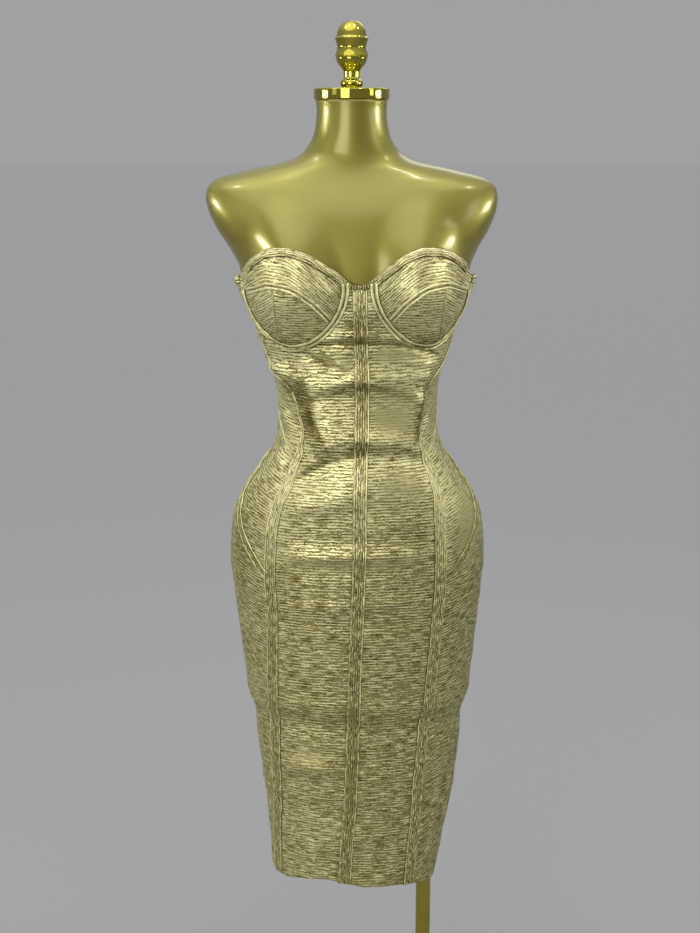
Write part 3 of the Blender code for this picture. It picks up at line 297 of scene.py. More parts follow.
# Where the foil is smooth and even, in the same way.
SATIN = (
    (6, 1.088, 37, 1.084, 26, 26, 800, 0),  # right of the midriff
    (5, 1.17, 46, 1.162, 12, 12, 700, 10),
    (52, 1.095, 78, 1.1, 30, 30, 600, 0),
    (-23, 1.174, -6, 1.156, 8, 8, 500, 0),  # left of it
    (10, 1.006, 38, 0.994, 18, 20, 500, 0),  # the belly
    (-44, 0.986, -10, 0.996, 16, 12, 350, 0),
    (-40, 0.89, 34, 0.893, 8, 8, 400, 0),
    (46, 0.95, 70, 0.94, 45, 60, 650, 0),  # the right hip
    (-60, 1.276, -24, 1.27, 11, 14, 300, 10),  # the upper cups
    (60, 1.276, 30, 1.27, 11, 14, 350, 10),
    (-40, 0.592, -12, 0.596, 16, 14, 500, 0),  # left of the thighs
)
UNEVEN, UNEVEN_WAVES = 0.00022, 26      # height and number of the knit's fine uneven waves
RIGHT_SHARE = 0.8           # how high the side and back folds are on the wearer's right
CLEAR = 0.0003              # between the cloth in a trough and the form under it
# How far the side's top edge stands off the form, and where it starts to, with the run of that.
ARM_FLARE = 0.0045
ARM_LEVEL, ARM_FRONT, ARM_BACK = (1.228, 0.040), (74, 8), (112, 14)

# ---------------- zip, form and stand
ZIP_BOTTOM, ZIP_TOP = 0.930, 1.2200
LIP_ASIDE, LIP_WIDTH, LIP_THICKNESS = 0.0021, 0.0036, 0.0010
TOOTH_PITCH, TOOTH_LEAN, TOOTH_RISE = 0.0016, 0.0001, 0.0002
TOOTH_ACROSS, TOOTH_ALONG, TOOTH_DEEP = 0.0006, 0.0005, 0.0004      # half sizes
BOX_FACES = ((0, 1, 3, 2), (4, 6, 7, 5), (0, 4, 5, 1), (2, 3, 7, 6), (0, 2, 6, 4), (1, 5, 7, 3))
FORM_EDGE = 0.004           # how far the form's lower edge is rolled
GAP = 0.0003                # between the form and the metal
CENTRE = 0.0004             # radius at the middle of a turned piece
NECK_MIDDLE = (0.0022, 0.005)
CAP_RADIUS, CAP_THICKNESS, CAP_EDGE = 0.0500, 0.0145, 0.0012
# Columns: radius, height above the cap. A sharp rim stands where one stretch meets the next.
FINIAL_DOME = ((0.0004, 0.0860), (0.0080, 0.0850), (0.0140, 0.0808), (0.0180, 0.0742),
               (0.0194, 0.0690), (0.0201, 0.0662), (0.0222, 0.0640))
FINIAL_WAIST = ((0.0222, 0.0640), (0.0196, 0.0560), (0.0188, 0.0528), (0.0196, 0.0490),
                (0.0221, 0.0418))
FINIAL_BOWL = ((0.0221, 0.0418), (0.0207, 0.0402), (0.0204, 0.0375), (0.0180, 0.0316),
               (0.0133, 0.0262), (0.0107, 0.0225))
FINIAL_BEAD = ((0.0107, 0.0225), (0.0106, 0.0145), (0.0118, 0.0125), (0.0142, 0.0100),
               (0.0150, 0.0072), (0.0140, 0.0035), (0.0118, 0.0010))
POLE_X, POLE_RADIUS, POLE_ROUND = 0.110, 0.011, 0.0015
FLANGE_RADIUS, FLANGE_HEIGHT = 0.028, 0.007
BASE_RADIUS, BASE_HEIGHT, BASE_EDGE, BASE_ROUND = 0.200, 0.010, 0.003, 0.0012

# ---------------- finishes
# Columns: name, one rib to the next, dashes' fineness, seed, level that is filled, how much less
# broken it is above the hips, shine, whether its raised edges get a painted highlight and its
# grooves painted shade.
FOILS = (
    ("foil_knit", 0.0041, 66.0, 1.0, 0.51, 0.065, 0.70, False),
    ("foil_tape", 0.0030, 95.0, 40.0, 0.535, 0.08, 0.50, True),
    ("foil_binding", 0.0027, 80.0, 80.0, 0.715, 0.09, 0.45, True),
)
WHOLER = (0.84, 1.02)       # the heights between which it becomes less broken
FOIL_FRESH, FOIL_WORN = (0.63, 0.61, 0.315), (0.290, 0.270, 0.088)
FOIL_EVEN, KNIT_BARE = (0.385, 0.362, 0.155), (0.066, 0.057, 0.009)
PAINT_DARK, PAINT_LIGHT = (0.158, 0.142, 0.012), (0.186, 0.168, 0.018)
THREAD_DARK, THREAD_LIGHT = (0.38, 0.35, 0.13), (0.72, 0.69, 0.34)
ZIP_METAL, STAND_METAL = ((0.72, 0.62, 0.30), 0.18), ((0.37, 0.328, 0.050), 0.03)   # and roughness
FLOOR_COLOUR = (0.228, 0.226, 0.232)

# ---------------- light and camera, which stands where the photograph was taken
SKY_POWER, SKY_WIDTH, SKY_TURN = 1.7, 74, (17, -10, 0)      # the last two in degrees
# The backdrop's brightness, from low to high on it.
DOME = (("From Min", 0.12), ("From Max", 0.90), ("To Min", 0.36), ("To Max", 1.00))
DOME_COLOUR = (0.99, 0.99, 1.0, 1)
MIDDLE = (0.0, 0.0, 1.1)
# Columns: name, place, target, size, watts, spread in degrees.
AREA_LIGHTS = (
    ("window", (-1.3, -3.6, 1.6), MIDDLE, (1.7, 2.0), 60, 180),
    ("beside_left", (-2.2, -0.1, 1.50), (0.0, -0.05, 1.43), (1.0, 0.4), 0.8, 24),
    ("beside_right", (2.2, -0.1, 1.50), (0.0, -0.05, 1.43), (1.0, 0.4), 0.8, 24),
    ("side_left", (-2.3, -1.7, 2.1), MIDDLE, (0.7, 1.3), 3, 180),
    ("side_right", (2.5, -1.3, 2.0), MIDDLE, (0.6, 1.2), 8, 180),
    ("behind", (0.6, 2.2, 2.7), MIDDLE, (1.4, 0.8), 6, 180),
    *((f"lamp_{index}", (x, -0.35, 2.9), (0.0, 0.0, 1.3), (0.08, 0.08), 3, 180)
      for index, x in enumerate((-1.1, -0.35, 0.45, 1.2))),
)
LAMP_COLOUR = (1.0, 1.0, 0.96)
FLOOR_HALF = 60.0
CAMERA_PLACE, CAMERA_DOWN, CAMERA_LENS = (0.0, -1.90, 1.46), 13.5, 54.0


# ---------------- smooth tables
def curve(table, value):
    """Return a smooth function that reads one column of a table, and never overshoots."""
    places, values = (np.array([row[column] for row in table], float) for column in (0, value))
    chords = np.diff(values) / np.diff(places)
    a, b = chords[:-1], chords[1:]
    same = a * b > 0
    inner = np.where(same, 2 * a * b / np.where(same, a + b, 1.0), 0.0)
    tilt = np.concatenate([chords[:1], inner, chords[-1:]])

    def read(place):
        place = np.clip(place, places[0], places[-1])
        index = np.clip(np.searchsorted(places, place) - 1, 0, len(places) - 2)
        step = places[index + 1] - places[index]
        t = (place - places[index]) / step
        return ((1 + 2 * t) * (1 - t) ** 2 * values[index]
                + t * (1 - t) ** 2 * step * tilt[index]
                + t * t * (3 - 2 * t) * values[index + 1]
                + t * t * (t - 1) * step * tilt[index + 1])

    return read


half_width, front_depth, back_depth, square_of, shift_of, turn_of = (
    curve(FIGURE, column) for column in range(1, 7))
neckline, cup_seam, upper_ribs, princess_width, hem, back_edge, form_inset = (
    curve(table, 1)
    for table in (NECKLINE, CUP_SEAM, UPPER_RIBS, PRINCESS_TAPE, HEM, BACK_TOP, INSET))
princess = {-1: curve(PRINCESS, 1), 1: curve(PRINCESS, 2)}


def always(value):
    """Return a function that gives the same value everywhere."""
    def read(*place):
        return value
    return read


def back_top(angle):
    return back_edge(np.abs(angle))


def blend(start, end, t):
    return start + (end - start) * t


def ease(t):
    """Return a smooth step from 0 to 1."""
    t = np.clip(t, 0, 1)
    return t * t * (3 - 2 * t)


def pairs(first, second):
    return np.stack([first, second], axis=-1)


# ---------------- the figure's surface
def reach(turn, square):
    return (np.abs(np.sin(turn)) ** square + np.abs(np.cos(turn)) ** square) ** (-1 / square)


def swell(out, height, depth, fall):
    """Return how far a cup stands out of the front."""
    across = np.abs(out) - CUP_OUT
    across = across / np.where(across > 0, CUP_OUTER, CUP_INNER)
    up = height - CUP_LEVEL
    up = up / np.where(up > 0, CUP_RISE, CUP_DROP)
    return depth * np.clip(1 - across ** 2 - up ** 2, 0, None) ** fall


def surface(angle, height, depth=CUP_DEPTH, fall=CUP_FALL):
    """Return the points of the cloth's face at arrays of places."""
    angle, height = np.broadcast_arrays(np.asarray(angle, float), np.asarray(height, float))
    turn = np.radians(angle + turn_of(height))
    square = square_of(height)
    far = reach(turn, square)
    x = shift_of(height) + half_width(height) * far * np.sin(turn)
    to_front = np.cos(turn) > 0
    y = -np.where(to_front, front_depth(height), back_depth(height)) * far * np.cos(turn)
    plain = np.radians(angle)
    out = half_width(height) * reach(plain, square) * np.sin(plain)
    y = y - np.where(to_front, swell(out, height, depth, fall), 0.0)
    return np.stack([x, y, height], axis=-1)


def form_surface(angle, height):
    return surface(angle, height, FORM_SWELL, FORM_FALL)


def slopes_at(angle, height, place=surface):
    """Return the surface's change for one degree and for one metre up."""
    turn, lift = 0.4, 0.0008
    across = (place(angle + turn, height) - place(angle - turn, height)) / (2 * turn)
    upward = (place(angle, height + lift) - place(angle, height - lift)) / (2 * lift)
    return across, upward


def unit(vectors):
    return vectors / np.linalg.norm(vectors, axis=-1, keepdims=True)


def normal_at(angle, height, place=surface):
    return unit(np.cross(*slopes_at(angle, height, place)))


def metres_per_degree(height):
    """Return about how far one degree is round the body."""
    depth = (front_depth(height) + back_depth(height)) / 2
    return math.radians(1) * (half_width(height) + depth) / 2


def fold_rise(angle, height, fold, side):
    """Return the height of one fold at arrays of places."""
    start_angle, start_height, end_angle, end_height = fold[:4]
    left, right, rise, bend = (value / 1000 for value in fold[4:])
    scale = metres_per_degree(height)
    run = (end_angle - start_angle) * side * scale
    climb = end_height - start_height
    aside = (angle - start_angle * side) * scale
    above = height - start_height
    t = np.clip((aside * run + above * climb) / (run ** 2 + climb ** 2), 0, 1)
    off_aside, off_above = aside - t * run, above - t * climb - bend * 4 * t * (1 - t)
    to_left = (run * off_above - climb * off_aside) * side
    width = np.where(to_left > 0, left, right)
    taper = (1 - (2 * t - 1) ** 4) ** 1.5
    return rise * taper * np.exp(-(np.hypot(off_aside, off_above) / width) ** 2)


def unevenness(angle, height):
    """Return fine waves that run mostly round the body, as a stretched knit has."""
    draw = np.random.RandomState(7)
    total = 0.0
    for _ in range(UNEVEN_WAVES):
        turns, rises = draw.uniform(0.5, 9.0) / 60, draw.uniform(20, 95)
        slant, phase = draw.uniform(-0.5, 0.5), draw.uniform(0, 2 * math.pi)
        total = total + np.sin(angle * turns + (height + slant * angle * 0.002) * rises * 2 + phase)
    return total * UNEVEN / math.sqrt(UNEVEN_WAVES)


def folds(angle, height):
    """Return how far the cloth stands off the figure at arrays of places."""
    total = unevenness(angle, height)
    for fold in FRONT_FOLDS:
        total = total + fold_rise(angle, height, fold, 1)
    for side in (1, -1):
        uneven = 1.0 if side > 0 else RIGHT_SHARE
        for fold in (*SIDE_FOLDS, *BACK_FOLDS):
            total = total + uneven * fold_rise(angle, height, fold, side)
    deepest = form_inset(height) - CLOTH - CLEAR
    total = np.maximum(total, 0) + deepest * np.tanh(np.minimum(total, 0) / deepest)
    far = np.abs(angle)
    (level, rise), (front, in_front), (back, behind) = ARM_LEVEL, ARM_FRONT, ARM_BACK
    flare = (ease((height - level) / rise) * ease((far - front) / in_front)
             * ease((back - far) / behind))
    return total + ARM_FLARE * flare


def worn(angle, height):
    """Return a map of painted shade and wear, as more broken foil, with painted highlight where
    negative, and of how even the foil is, at arrays of places.
    """
    amount, satin = (sum(fold_rise(angle, height, row, 1) for row in table)
                     for table in (SHADE_AND_WEAR, SATIN))
    return pairs(amount, np.clip(satin, 0, 1))


def cloth(angle, height, rise=0.0):
    """Return the points that lie a rise above the folded cloth's face."""
    lift = np.asarray(folds(angle, height) + rise)
    return surface(angle, height) + normal_at(angle, height) * lift[..., None]


def beside(angle, height, ahead_angle, ahead_height, distance):
    """Return the places at distances to the right of a heading, along the surface."""
    across, upward = slopes_at(angle, height)
    ahead = unit(across * ahead_angle[..., None] + upward * ahead_height[..., None])
    aside = np.cross(ahead, unit(np.cross(across, upward))) * distance[..., None]
    aa, ab, bb, pa, pb = ((u * v).sum(-1) for u, v in (
        (across, across), (across, upward), (upward, upward), (aside, across), (aside, upward)))
    scale = aa * bb - ab * ab
    return angle + (pa * bb - pb * ab) / scale, height + (pb * aa - pa * ab) / scale


# ---------------- seams
def wire(station):
    """Return (out, height) of the underwire at angles along it, from the gore to the armhole."""
    turn = np.radians(station)
    sine, cosine = np.abs(np.sin(turn)) ** WIRE_BEND, np.abs(np.cos(turn)) ** WIRE_BEND
    inner, outer = CUP_OUT - CUP_INNER * cosine, CUP_OUT + CUP_OUTER * cosine
    return np.where(np.asarray(station) < 90, inner, outer), CUP_LEVEL - CUP_DROP * sine


def angle_out(out, height):
    """Return the angle of a place this far out on the front."""
    square = square_of(height)
    share = np.clip(np.abs(out) / half_width(height), 0, 0.9999)
    angle = np.degrees(np.arctan2(share, (1 - share ** square) ** (1 / square)))
    return np.copysign(angle, out)


PRINCESS_END_HEIGHT = float(wire(PRINCESS_TOP)[1])
PRINCESS_END_ANGLE = float(angle_out(*wire(PRINCESS_TOP)))


# The seams are functions of the height and side, and give angles without their signs.
def centre_front(height, side):
    return np.zeros_like(height)


def centre_back(height, side):
    return np.full_like(height, 180.0)


def princess_angle(height, side):
    top = PRINCESS[-1][0]
    t = np.clip((height - top) / (PRINCESS_END_HEIGHT - top), 0, 1)
    return np.where(height <= top, princess[side](height),
                    blend(princess[side](top), PRINCESS_END_ANGLE, t))


def cup_edge_angle(height, side=1):
    """Return the angle of the cup's outer edge, above the princess seam."""
    (seam_out, seam_height), (corner_out, corner_height) = SEAM_END, CORNER
    t = np.clip((height - seam_height) / (corner_height - seam_height), 0, 1)
    straight = blend(seam_out, corner_out, t)
    sine = np.clip((CUP_LEVEL - height) / CUP_DROP, 0, 1) ** (1 / WIRE_BEND)
    round_part = CUP_OUT + CUP_OUTER * np.sqrt(1 - sine ** 2) ** WIRE_BEND
    return angle_out(np.where(height >= seam_height, straight, round_part), height)


def run_in(table, point):
    """Return a table's seam, which runs into the princess seam at a point."""
    read = curve(table, 1)
    first_height, first_angle = table[0]

    def seam(height, side):
        t = np.clip((height - point) / (first_height - point), 0, 1)
        low = blend(princess_angle(np.asarray(point), side), first_angle, t)
        return np.where(height >= first_height, read(height), low)
    return seam


def above_princess(split, upper):
    """Return the edge that follows the princess seam up to a height, and then another seam."""
    def edge(height, side):
        return np.where(height > split, upper(height, side), princess_angle(height, side))
    return edge


side_seam, hip_seam = run_in(SIDE, WAIST_POINT), run_in(HIP, HIP_POINT)
side_front_edge = above_princess(PRINCESS_END_HEIGHT, cup_edge_angle)
hip_front_edge = above_princess(WAIST_POINT, side_seam)
back_front_edge = above_princess(HIP_POINT, hip_seam)


def seam_route(seam, low, high, count, side=1):
    """Return the route up a seam between two heights."""
    levels = np.linspace(low, high, count)
    return seam(levels, side) * side, levels


def edge_route(edge, first, last, count, lift, side):
    """Return the route round the body between two angles, at a distance over an edge."""
    angle = np.linspace(first, last, count) * side
    return angle, edge(angle) + lift


# ---------------- meshes
def in_scene(name, data):
    """Return a new object with this data, in the scene."""
    thing = bpy.data.objects.new(name, data)
    bpy.context.scene.collection.objects.link(thing)
    return thing


def new_object(name, points, faces, material, smooth=True, **uv_maps):
    """Return an object from arrays. A cloth's "rib" map is in metres along and across its ribs."""
    mesh = bpy.data.meshes.new(name)
    mesh.from_pydata(np.reshape(points, (-1, 3)).tolist(), [], faces)
    mesh.materials.append(material)
    corners = np.empty(len(mesh.loops), np.int32)
    mesh.loops.foreach_get("vertex_index", corners)
    for label, uv in uv_maps.items():
        layer = mesh.uv_layers.new(name=label)
        layer.data.foreach_set("uv", np.reshape(uv, (-1, 2))[corners].ravel())
    if smooth:
        mesh.shade_smooth()
    mesh.update()
    return in_scene(name, mesh)


def keep(piece, slot, *nodes):
    """Fix a piece on the dress's body, in the place of the CAD nodes it stands for."""
    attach(piece, BODY)
    if nodes:
        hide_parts(*nodes)


def grid_faces(rows, columns, first=0, flip=False, closed=False):
    """Return the quads of a grid of points; a closed grid joins its last column to its first."""
    index = first + np.arange(rows * columns).reshape(rows, columns)
    if closed:
        index = np.hstack([index, index[:, :1]])
    corners = [index[:-1, :-1], index[:-1, 1:], index[1:, 1:], index[1:, :-1]]
    if flip:
        corners.reverse()
    return np.stack(corners, axis=-1).reshape(-1, 4).tolist()


def tube_faces(rows, columns, flip):
    """Return the faces of a closed grid of points and of its two flat ends."""
    ends = [list(range(columns)), list(range((rows - 1) * columns, rows * columns))]
    ends[int(flip)].reverse()
    return grid_faces(rows, columns, 0, flip, closed=True) + ends


def shell(name, angle, height, side, rib_uv, material):
    """Return a closed thin shell over a grid of places, with softly rounded edges."""
    rows, columns = angle.shape
    border = np.zeros(angle.shape)
    border[[0, -1], :] = 1
    border[:, [0, -1]] = 1
    outer = cloth(angle, height, -SOFT_OUTSIDE * border)
    inner = cloth(angle, height, -CLOTH + SOFT_INSIDE * border)
    count = rows * columns
    flip = side < 0
    faces = grid_faces(rows, columns, 0, flip) + grid_faces(rows, columns, count, not flip)
    index = np.arange(count).reshape(rows, columns)
    ring = np.concatenate([index[0], index[1:, -1], index[-1, -2::-1], index[-2:0:-1, 0]]).tolist()
    for a, b in zip(ring, ring[1:] + ring[:1]):
        faces.append((a, b, b + count, a + count) if flip else (b, a, a + count, b + count))
    points = np.concatenate([outer.reshape(-1, 3), inner.reshape(-1, 3)])
    maps = [np.concatenate([values.reshape(-1, 2)] * 2) for values in (rib_uv, worn(angle, height))]
    return new_object(name, points, faces, material, rib=maps[0], worn=maps[1])


def declare_cloth(angle, height):
    """Work out the panel's cut size, its size on the body less the stretch round it; nothing uses
    the result.
    """
    points = surface(angle, height)
    length, width = (np.linalg.norm(np.diff(points, axis=axis), axis=-1).sum(axis=axis).max()
                     for axis in (0, 1))
    width = width / STRETCH
    near, right, up, far = points[:-1, :-1], points[:-1, 1:], points[1:, :-1], points[1:, 1:]
    halves = np.cross(up - near, right - near), np.cross(right - far, up - far)
    area = sum(np.linalg.norm(half, axis=-1) for half in halves).sum() / 2
    area = min(area / STRETCH, width * length)


# ---------------- panels
def panel_levels(bottom, top):
    return np.linspace(bottom, top, round((top - bottom) / GRID) + 1)


def above_hem(levels, angle):
    """Return the heights of rows, of which the lower ones bend to the hem."""
    share = np.clip((HEM_BEND - levels) / (HEM_BEND - levels[0]), 0, 1)[:, None]
    return levels[:, None] + share * (hem(angle[:1]) - levels[0])


def slanted_uv(angle, height, shares, slope_near, slope_far, offset):
    """Return coordinates along and across ribs whose slant changes from one edge to the other."""
    scale = metres_per_degree(height)
    out = np.abs(angle) * scale
    width = (np.abs(angle[:, -1:]) - np.abs(angle[:, :1])) * scale
    lean = slope_near * (np.abs(angle[:, :1]) * scale)
    lean = lean + width * (slope_near * shares + (slope_far - slope_near) * shares ** 2 / 2)
    return pairs(out + offset, height - lean + offset * 3)


def front_panel(side):
    """Return the front panel's places and rib coordinates."""
    stations = np.linspace(0, PRINCESS_TOP, 400)
    edge = wire(stations[stations > GORE_STATION])
    out, high = (np.concatenate(values) for values in zip(zip(GORE_MIDDLE, GORE_CORNER), edge))
    top_shares = angle_out(out, high) / PRINCESS_END_ANGLE
    order = np.argsort(top_shares)
    shares = np.linspace(0, 1, round(FRONT_WIDTH / GRID) + 1)
    top_height = np.interp(shares, top_shares[order], high[order])
    lower = panel_levels(float(hem(0.0)), UPPER_LEVEL)
    steps = np.linspace(0, 1, int(FRONT_RISE / GRID) + 1)[1:]
    levels = np.concatenate([lower, blend(UPPER_LEVEL, PRINCESS_END_HEIGHT, steps)])
    angle = shares * princess_angle(levels, side)[:, None] * side
    upper = blend(UPPER_LEVEL, top_height, steps[:, None])
    height = np.concatenate([above_hem(lower, angle), upper])
    along = np.abs(angle) * metres_per_degree(height) + FRONT_OFFSET[side]
    return angle, height, pairs(along, height)


def seam_panel(side, bottom, near_edge, far_edge, width, slopes, offset):
    """Return the places and rib coordinates of a panel between two seams, up to the back's top."""
    levels = panel_levels(bottom, CORNER[1])
    shares = np.linspace(0, 1, round(width / GRID) + 1)
    near, far = near_edge(levels, side)[:, None], far_edge(levels, side)[:, None]
    angle = blend(near, far, shares) * side
    if bottom < HEM_BEND:
        height = above_hem(levels, angle)
    else:
        height = np.repeat(levels[:, None], len(shares), axis=1)
    first = SEAM_END[1]
    up = np.clip((height - first) / (CORNER[1] - first), 0, 1)
    height = np.where(height > first, blend(first, back_top(angle), up), height)
    return angle, height, slanted_uv(angle, height, shares[None, :], *slopes, offset)


# Columns: kind, lowest height, near edge, far edge, width, slopes of the ribs, pattern's offset.
SEAM_PANELS = (
    ("side_front_panel", 1.030, side_front_edge, side_seam, 0.060, (0.10, 0.30), 1.7),
    ("hip_panel", 0.867, hip_front_edge, hip_seam, 0.075, (0.42, 0.22), 3.1),
    ("back_panel", float(hem(180.0)), back_front_edge, centre_back, 0.280, (0.30, 0.0), 7.9),
)


def rail(outs, read):
    """Return a function from a fractional index to the (out, height) of a rail."""
    def at(index):
        out = np.interp(index, range(len(outs)), outs)
        return out, read(out)
    return at


def wire_rail(stations, first=None, last=None):
    """Return the same along the underwire, with a point of its own at either end."""
    lead = 1 if first else 0
    ends = [(first, wire(stations[0]), 0)] if first else []
    if last:
        ends.append((wire(stations[-1]), last, len(stations) - 1 + lead))

    def at(index):
        place = wire(np.interp(index - lead, range(len(stations)), stations))
        for start, end, begin in ends:
            t = np.clip(index - begin, 0, 1)
            inside = (index >= begin) & (index <= begin + 1)
            place = [np.where(inside, blend(float(a), float(b), t), value)
                     for a, b, value in zip(start, end, place)]
        return place
    return at


def ruled(side, upper, lower, span, size):
    """Return the places of a cup piece between two rails, the lower rail first."""
    columns, rows = (round(metres / GRID) + 1 for metres in size)
    index = np.linspace(*span, columns)[None, :]
    share = np.linspace(0, 1, rows)[:, None]
    out, height = (blend(low, high, share) for low, high in zip(lower(index), upper(index)))
    return angle_out(out, height) * side, height


def cup_places(side):
    """Return each cup piece's places and rib coordinates."""
    seam, seam_end = rail(SEAM_OUTS, cup_seam), len(SEAM_OUTS) - 1
    turn = wire_rail((38, 19), None, GORE_CORNER)

    def lower_edge(index):
        past = index > seam_end
        return [np.where(past, *values) for values in zip(turn(index - seam_end), seam(index))]

    inner_wire = wire_rail(INNER_STATIONS)
    outer_wire = wire_rail(OUTER_STATIONS, (SEAM_OUTS[0], SEAM_END[1]))
    inner_seam, outer_seam = (
        rail(outs, cup_seam) for outs in (SEAM_OUTS[SEAM_SPLIT:], SEAM_OUTS[:SEAM_SPLIT + 1]))
    upper = ruled(side, rail(NECK_OUTS, neckline), lower_edge, (0, 12), (0.170, 0.060))
    inner = ruled(side, inner_seam, inner_wire, (0, 4.9), (0.095, 0.100))
    outer = ruled(side, outer_seam, outer_wire, (0.12, 5), (0.055, 0.100))
    upper_x, inner_x, outer_x = (surface(*places)[..., 0] for places in (upper, inner, outer))
    out, far = np.abs(upper_x - shift_of(upper[1])), np.abs(outer_x)
    return {
        "upper_cup": (*upper, pairs(out * 1.15 + 11.0, upper[1] - upper_ribs(out) + 2.0)),
        "lower_cup_inner": (*inner, pairs(inner_x + 3.0, inner[1] * 1.15)),
        "lower_cup_outer": (*outer, pairs(far * 1.1 + 8.0, outer[1] * 1.1 + far * 0.75)),
    }


def make_cloth(material):
    """Make every panel of the dress."""
    for side, letter in SIDES:
        grids = {"front_panel": front_panel(side)}
        for kind, *panel, offset in SEAM_PANELS:
            grids[kind] = seam_panel(side, *panel, offset + side)
        grids.update(cup_places(side))
        for kind, (angle, height, uv) in grids.items():
            node = f"{kind}_{letter}"
            flip = side * (-1 if "cup" in kind else 1)
            piece = shell(f"{node}_cloth", angle, height, flip, uv, material)
            keep(piece, "foil_knit", node)
            declare_cloth(angle, height)


# ---------------- tapes and bindings
def resample(angle, height, spacing):
    """Return evenly spaced places along a route, and the distance to each."""
    points = surface(angle, height)
    run = np.concatenate([[0], np.linalg.norm(np.diff(points, axis=0), axis=-1).cumsum()])
    even = np.linspace(0, run[-1], max(round(run[-1] / spacing), 2) + 1)
    return np.interp(even, run, angle), np.interp(even, run, height), even


def sweep(name, route, section, material, spacing=0.0025, relief=None):
    """Return a strip: a closed section, (across, rise) in metres, run along a route on the cloth.

    The section is a function of the height and of the distance along the route.
    """
    angle, height, run = resample(*route, spacing)
    loops = [section(level, far) for level, far in zip(height, run)]
    across, rise = np.array(loops).transpose(2, 0, 1)
    share = rise / rise.max()
    # Painted highlight on the section's raised parts, as fresher foil, and painted shade in its low
    # parts and grooves, as more broken foil.
    painted_highlight = np.clip((share - 0.72) / 0.28, 0, 1)    # where the foil is fresher
    painted_shade = np.clip((0.52 - share) / 0.3, 0, 1)      # and more broken
    rows, columns = across.shape
    angle, height, ahead_angle, ahead_height, run = (
        np.repeat(values[:, None], columns, axis=1)
        for values in (angle, height, np.gradient(angle), np.gradient(height), run))
    if relief is not None:
        swing = relief(run, across)
        rise = np.where(rise > TAPE * 0.5, rise + swing, rise)
        # The gathers' troughs get deeper painted shade, and their crests less.
        painted_shade = np.clip(painted_shade - swing / 0.0012, 0, 1)
    places = beside(angle, height, ahead_angle, ahead_height, across)
    return new_object(name, cloth(*places, rise), tube_faces(rows, columns, True), material,
                      rib=pairs(run, across + 0.5), edge=pairs(painted_highlight, painted_shade), worn=worn(*places))


def strip(name, route, section, material, *nodes, **options):
    """Make a strip in the place of its CAD nodes."""
    keep(sweep(name, route, section, material, **options), "foil_tape", *nodes)


def ribbed_section(width_of, widest):
    """Return a section with raised edges and ribs along it, of as many points along its length."""
    steps = 2 * round(widest / TAPE_STEP)

    def section(height, far):
        width = float(width_of(height))
        half = width / 2
        count = 2 * max(round(width / TAPE_STEP), 4)
        across = np.linspace(-half, half, count + 1)
        near_edge = half - np.abs(across)
        rise = TAPE + RIB_HIGH * np.cos(2 * math.pi * across / RIB_PITCH)
        rise = rise + EDGE_HIGH * np.exp(-((near_edge - EDGE_IN) / EDGE_WIDE) ** 2)
        rise = rise - (TAPE - LIFT * 2) * np.exp(-(near_edge / EDGE_ROUND) ** 2)
        even = np.linspace(0, count, steps + 1)
        top = [np.interp(even, range(count + 1), values) for values in (across, rise)]
        return [*zip(*top), (half, LIFT), (0.0, LIFT), (-half, LIFT)]
    return section


def mirrored_section(width, thickness, shares):
    """Return a section from (share of the half, share of the thickness), edge first."""
    half = width / 2
    top = [(-half * share, thickness * rise) for share, rise in shares]
    top += [(half * share, thickness * rise) for share, rise in reversed(shares[:-1])]
    return always([*top, (half, LIFT), (0.0, LIFT), (-half, LIFT)])


def rolled_section(width, thickness, roll, groove):
    """Return the section of two rolls with a groove between; a roll takes its share of the half."""
    inner = 1 - roll
    return mirrored_section(width, thickness, (
        (1.0, 0.15), (0.94, 0.85), (0.84, 1.20), (blend(0.84, inner, 0.5), 1.30), (inner, 0.95),
        (inner * 0.65, groove), (0.0, groove)))


def bound_section(width_of, up_side, thickness):
    """Return the section of a binding that rolls over the cloth's upper edge."""
    def section(height, far):
        half = width_of(far) / 2
        loop = [(half * share * up_side, thickness * rise) for share, rise in BOUND]
        loop += [(half * up_side, LIFT), (0.0, LIFT), (-half * up_side, LIFT)]
        return loop[::-1] if up_side < 0 else loop
    return section


def on_front(outs, heights, side):
    return angle_out(outs, heights) * side, np.asarray(heights)


def channel_route(side):
    ends = zip(CHANNEL_END, wire(np.linspace(0, 172, 90)))
    return on_front(*(np.concatenate([[end], values]) for end, values in ends), side)


def band_route(side):
    outs = np.linspace(0.0405, 0.1440, 60)
    return on_front(outs, cup_seam(outs), side)


def cup_seam_route(side):
    """Return the route of the seam down the middle of the lower cup."""
    start, share = SEAM_OUTS[SEAM_SPLIT], np.linspace(0.05, 0.97, 40)
    top, foot = (start, cup_seam(start)), wire(INNER_STATIONS[0])
    out, height = (blend(*ends, share) for ends in zip(top, foot))
    return on_front(out, height, side)


def neckline_route():
    """Return the binding's route from one armhole over the gore to the other, inside the edge."""
    outs = np.linspace(-0.1475, 0.1475, 400)
    far = np.abs(outs)
    top = np.where(far > NECKLINE[0][0], neckline(far), GORE_DIP + GORE_SPREAD * outs ** 2)
    run, rise = np.gradient(outs), np.gradient(top)
    share = BINDING_INSIDE / np.hypot(run, rise)
    return on_front(outs + rise * share, top - run * share, 1)


def gathers(middle):
    """Return the relief of a strip that is gathered near a place along it."""
    def relief(run, across):
        far = run - middle
        wave = 2 * math.pi * (run + far * 14 * across) / GATHER_PITCH + 0.8 * np.sin(run * 900)
        return GATHER_HIGH * ease((GATHER_REACH - np.abs(far)) / GATHER_EASE) * np.cos(wave)
    return relief


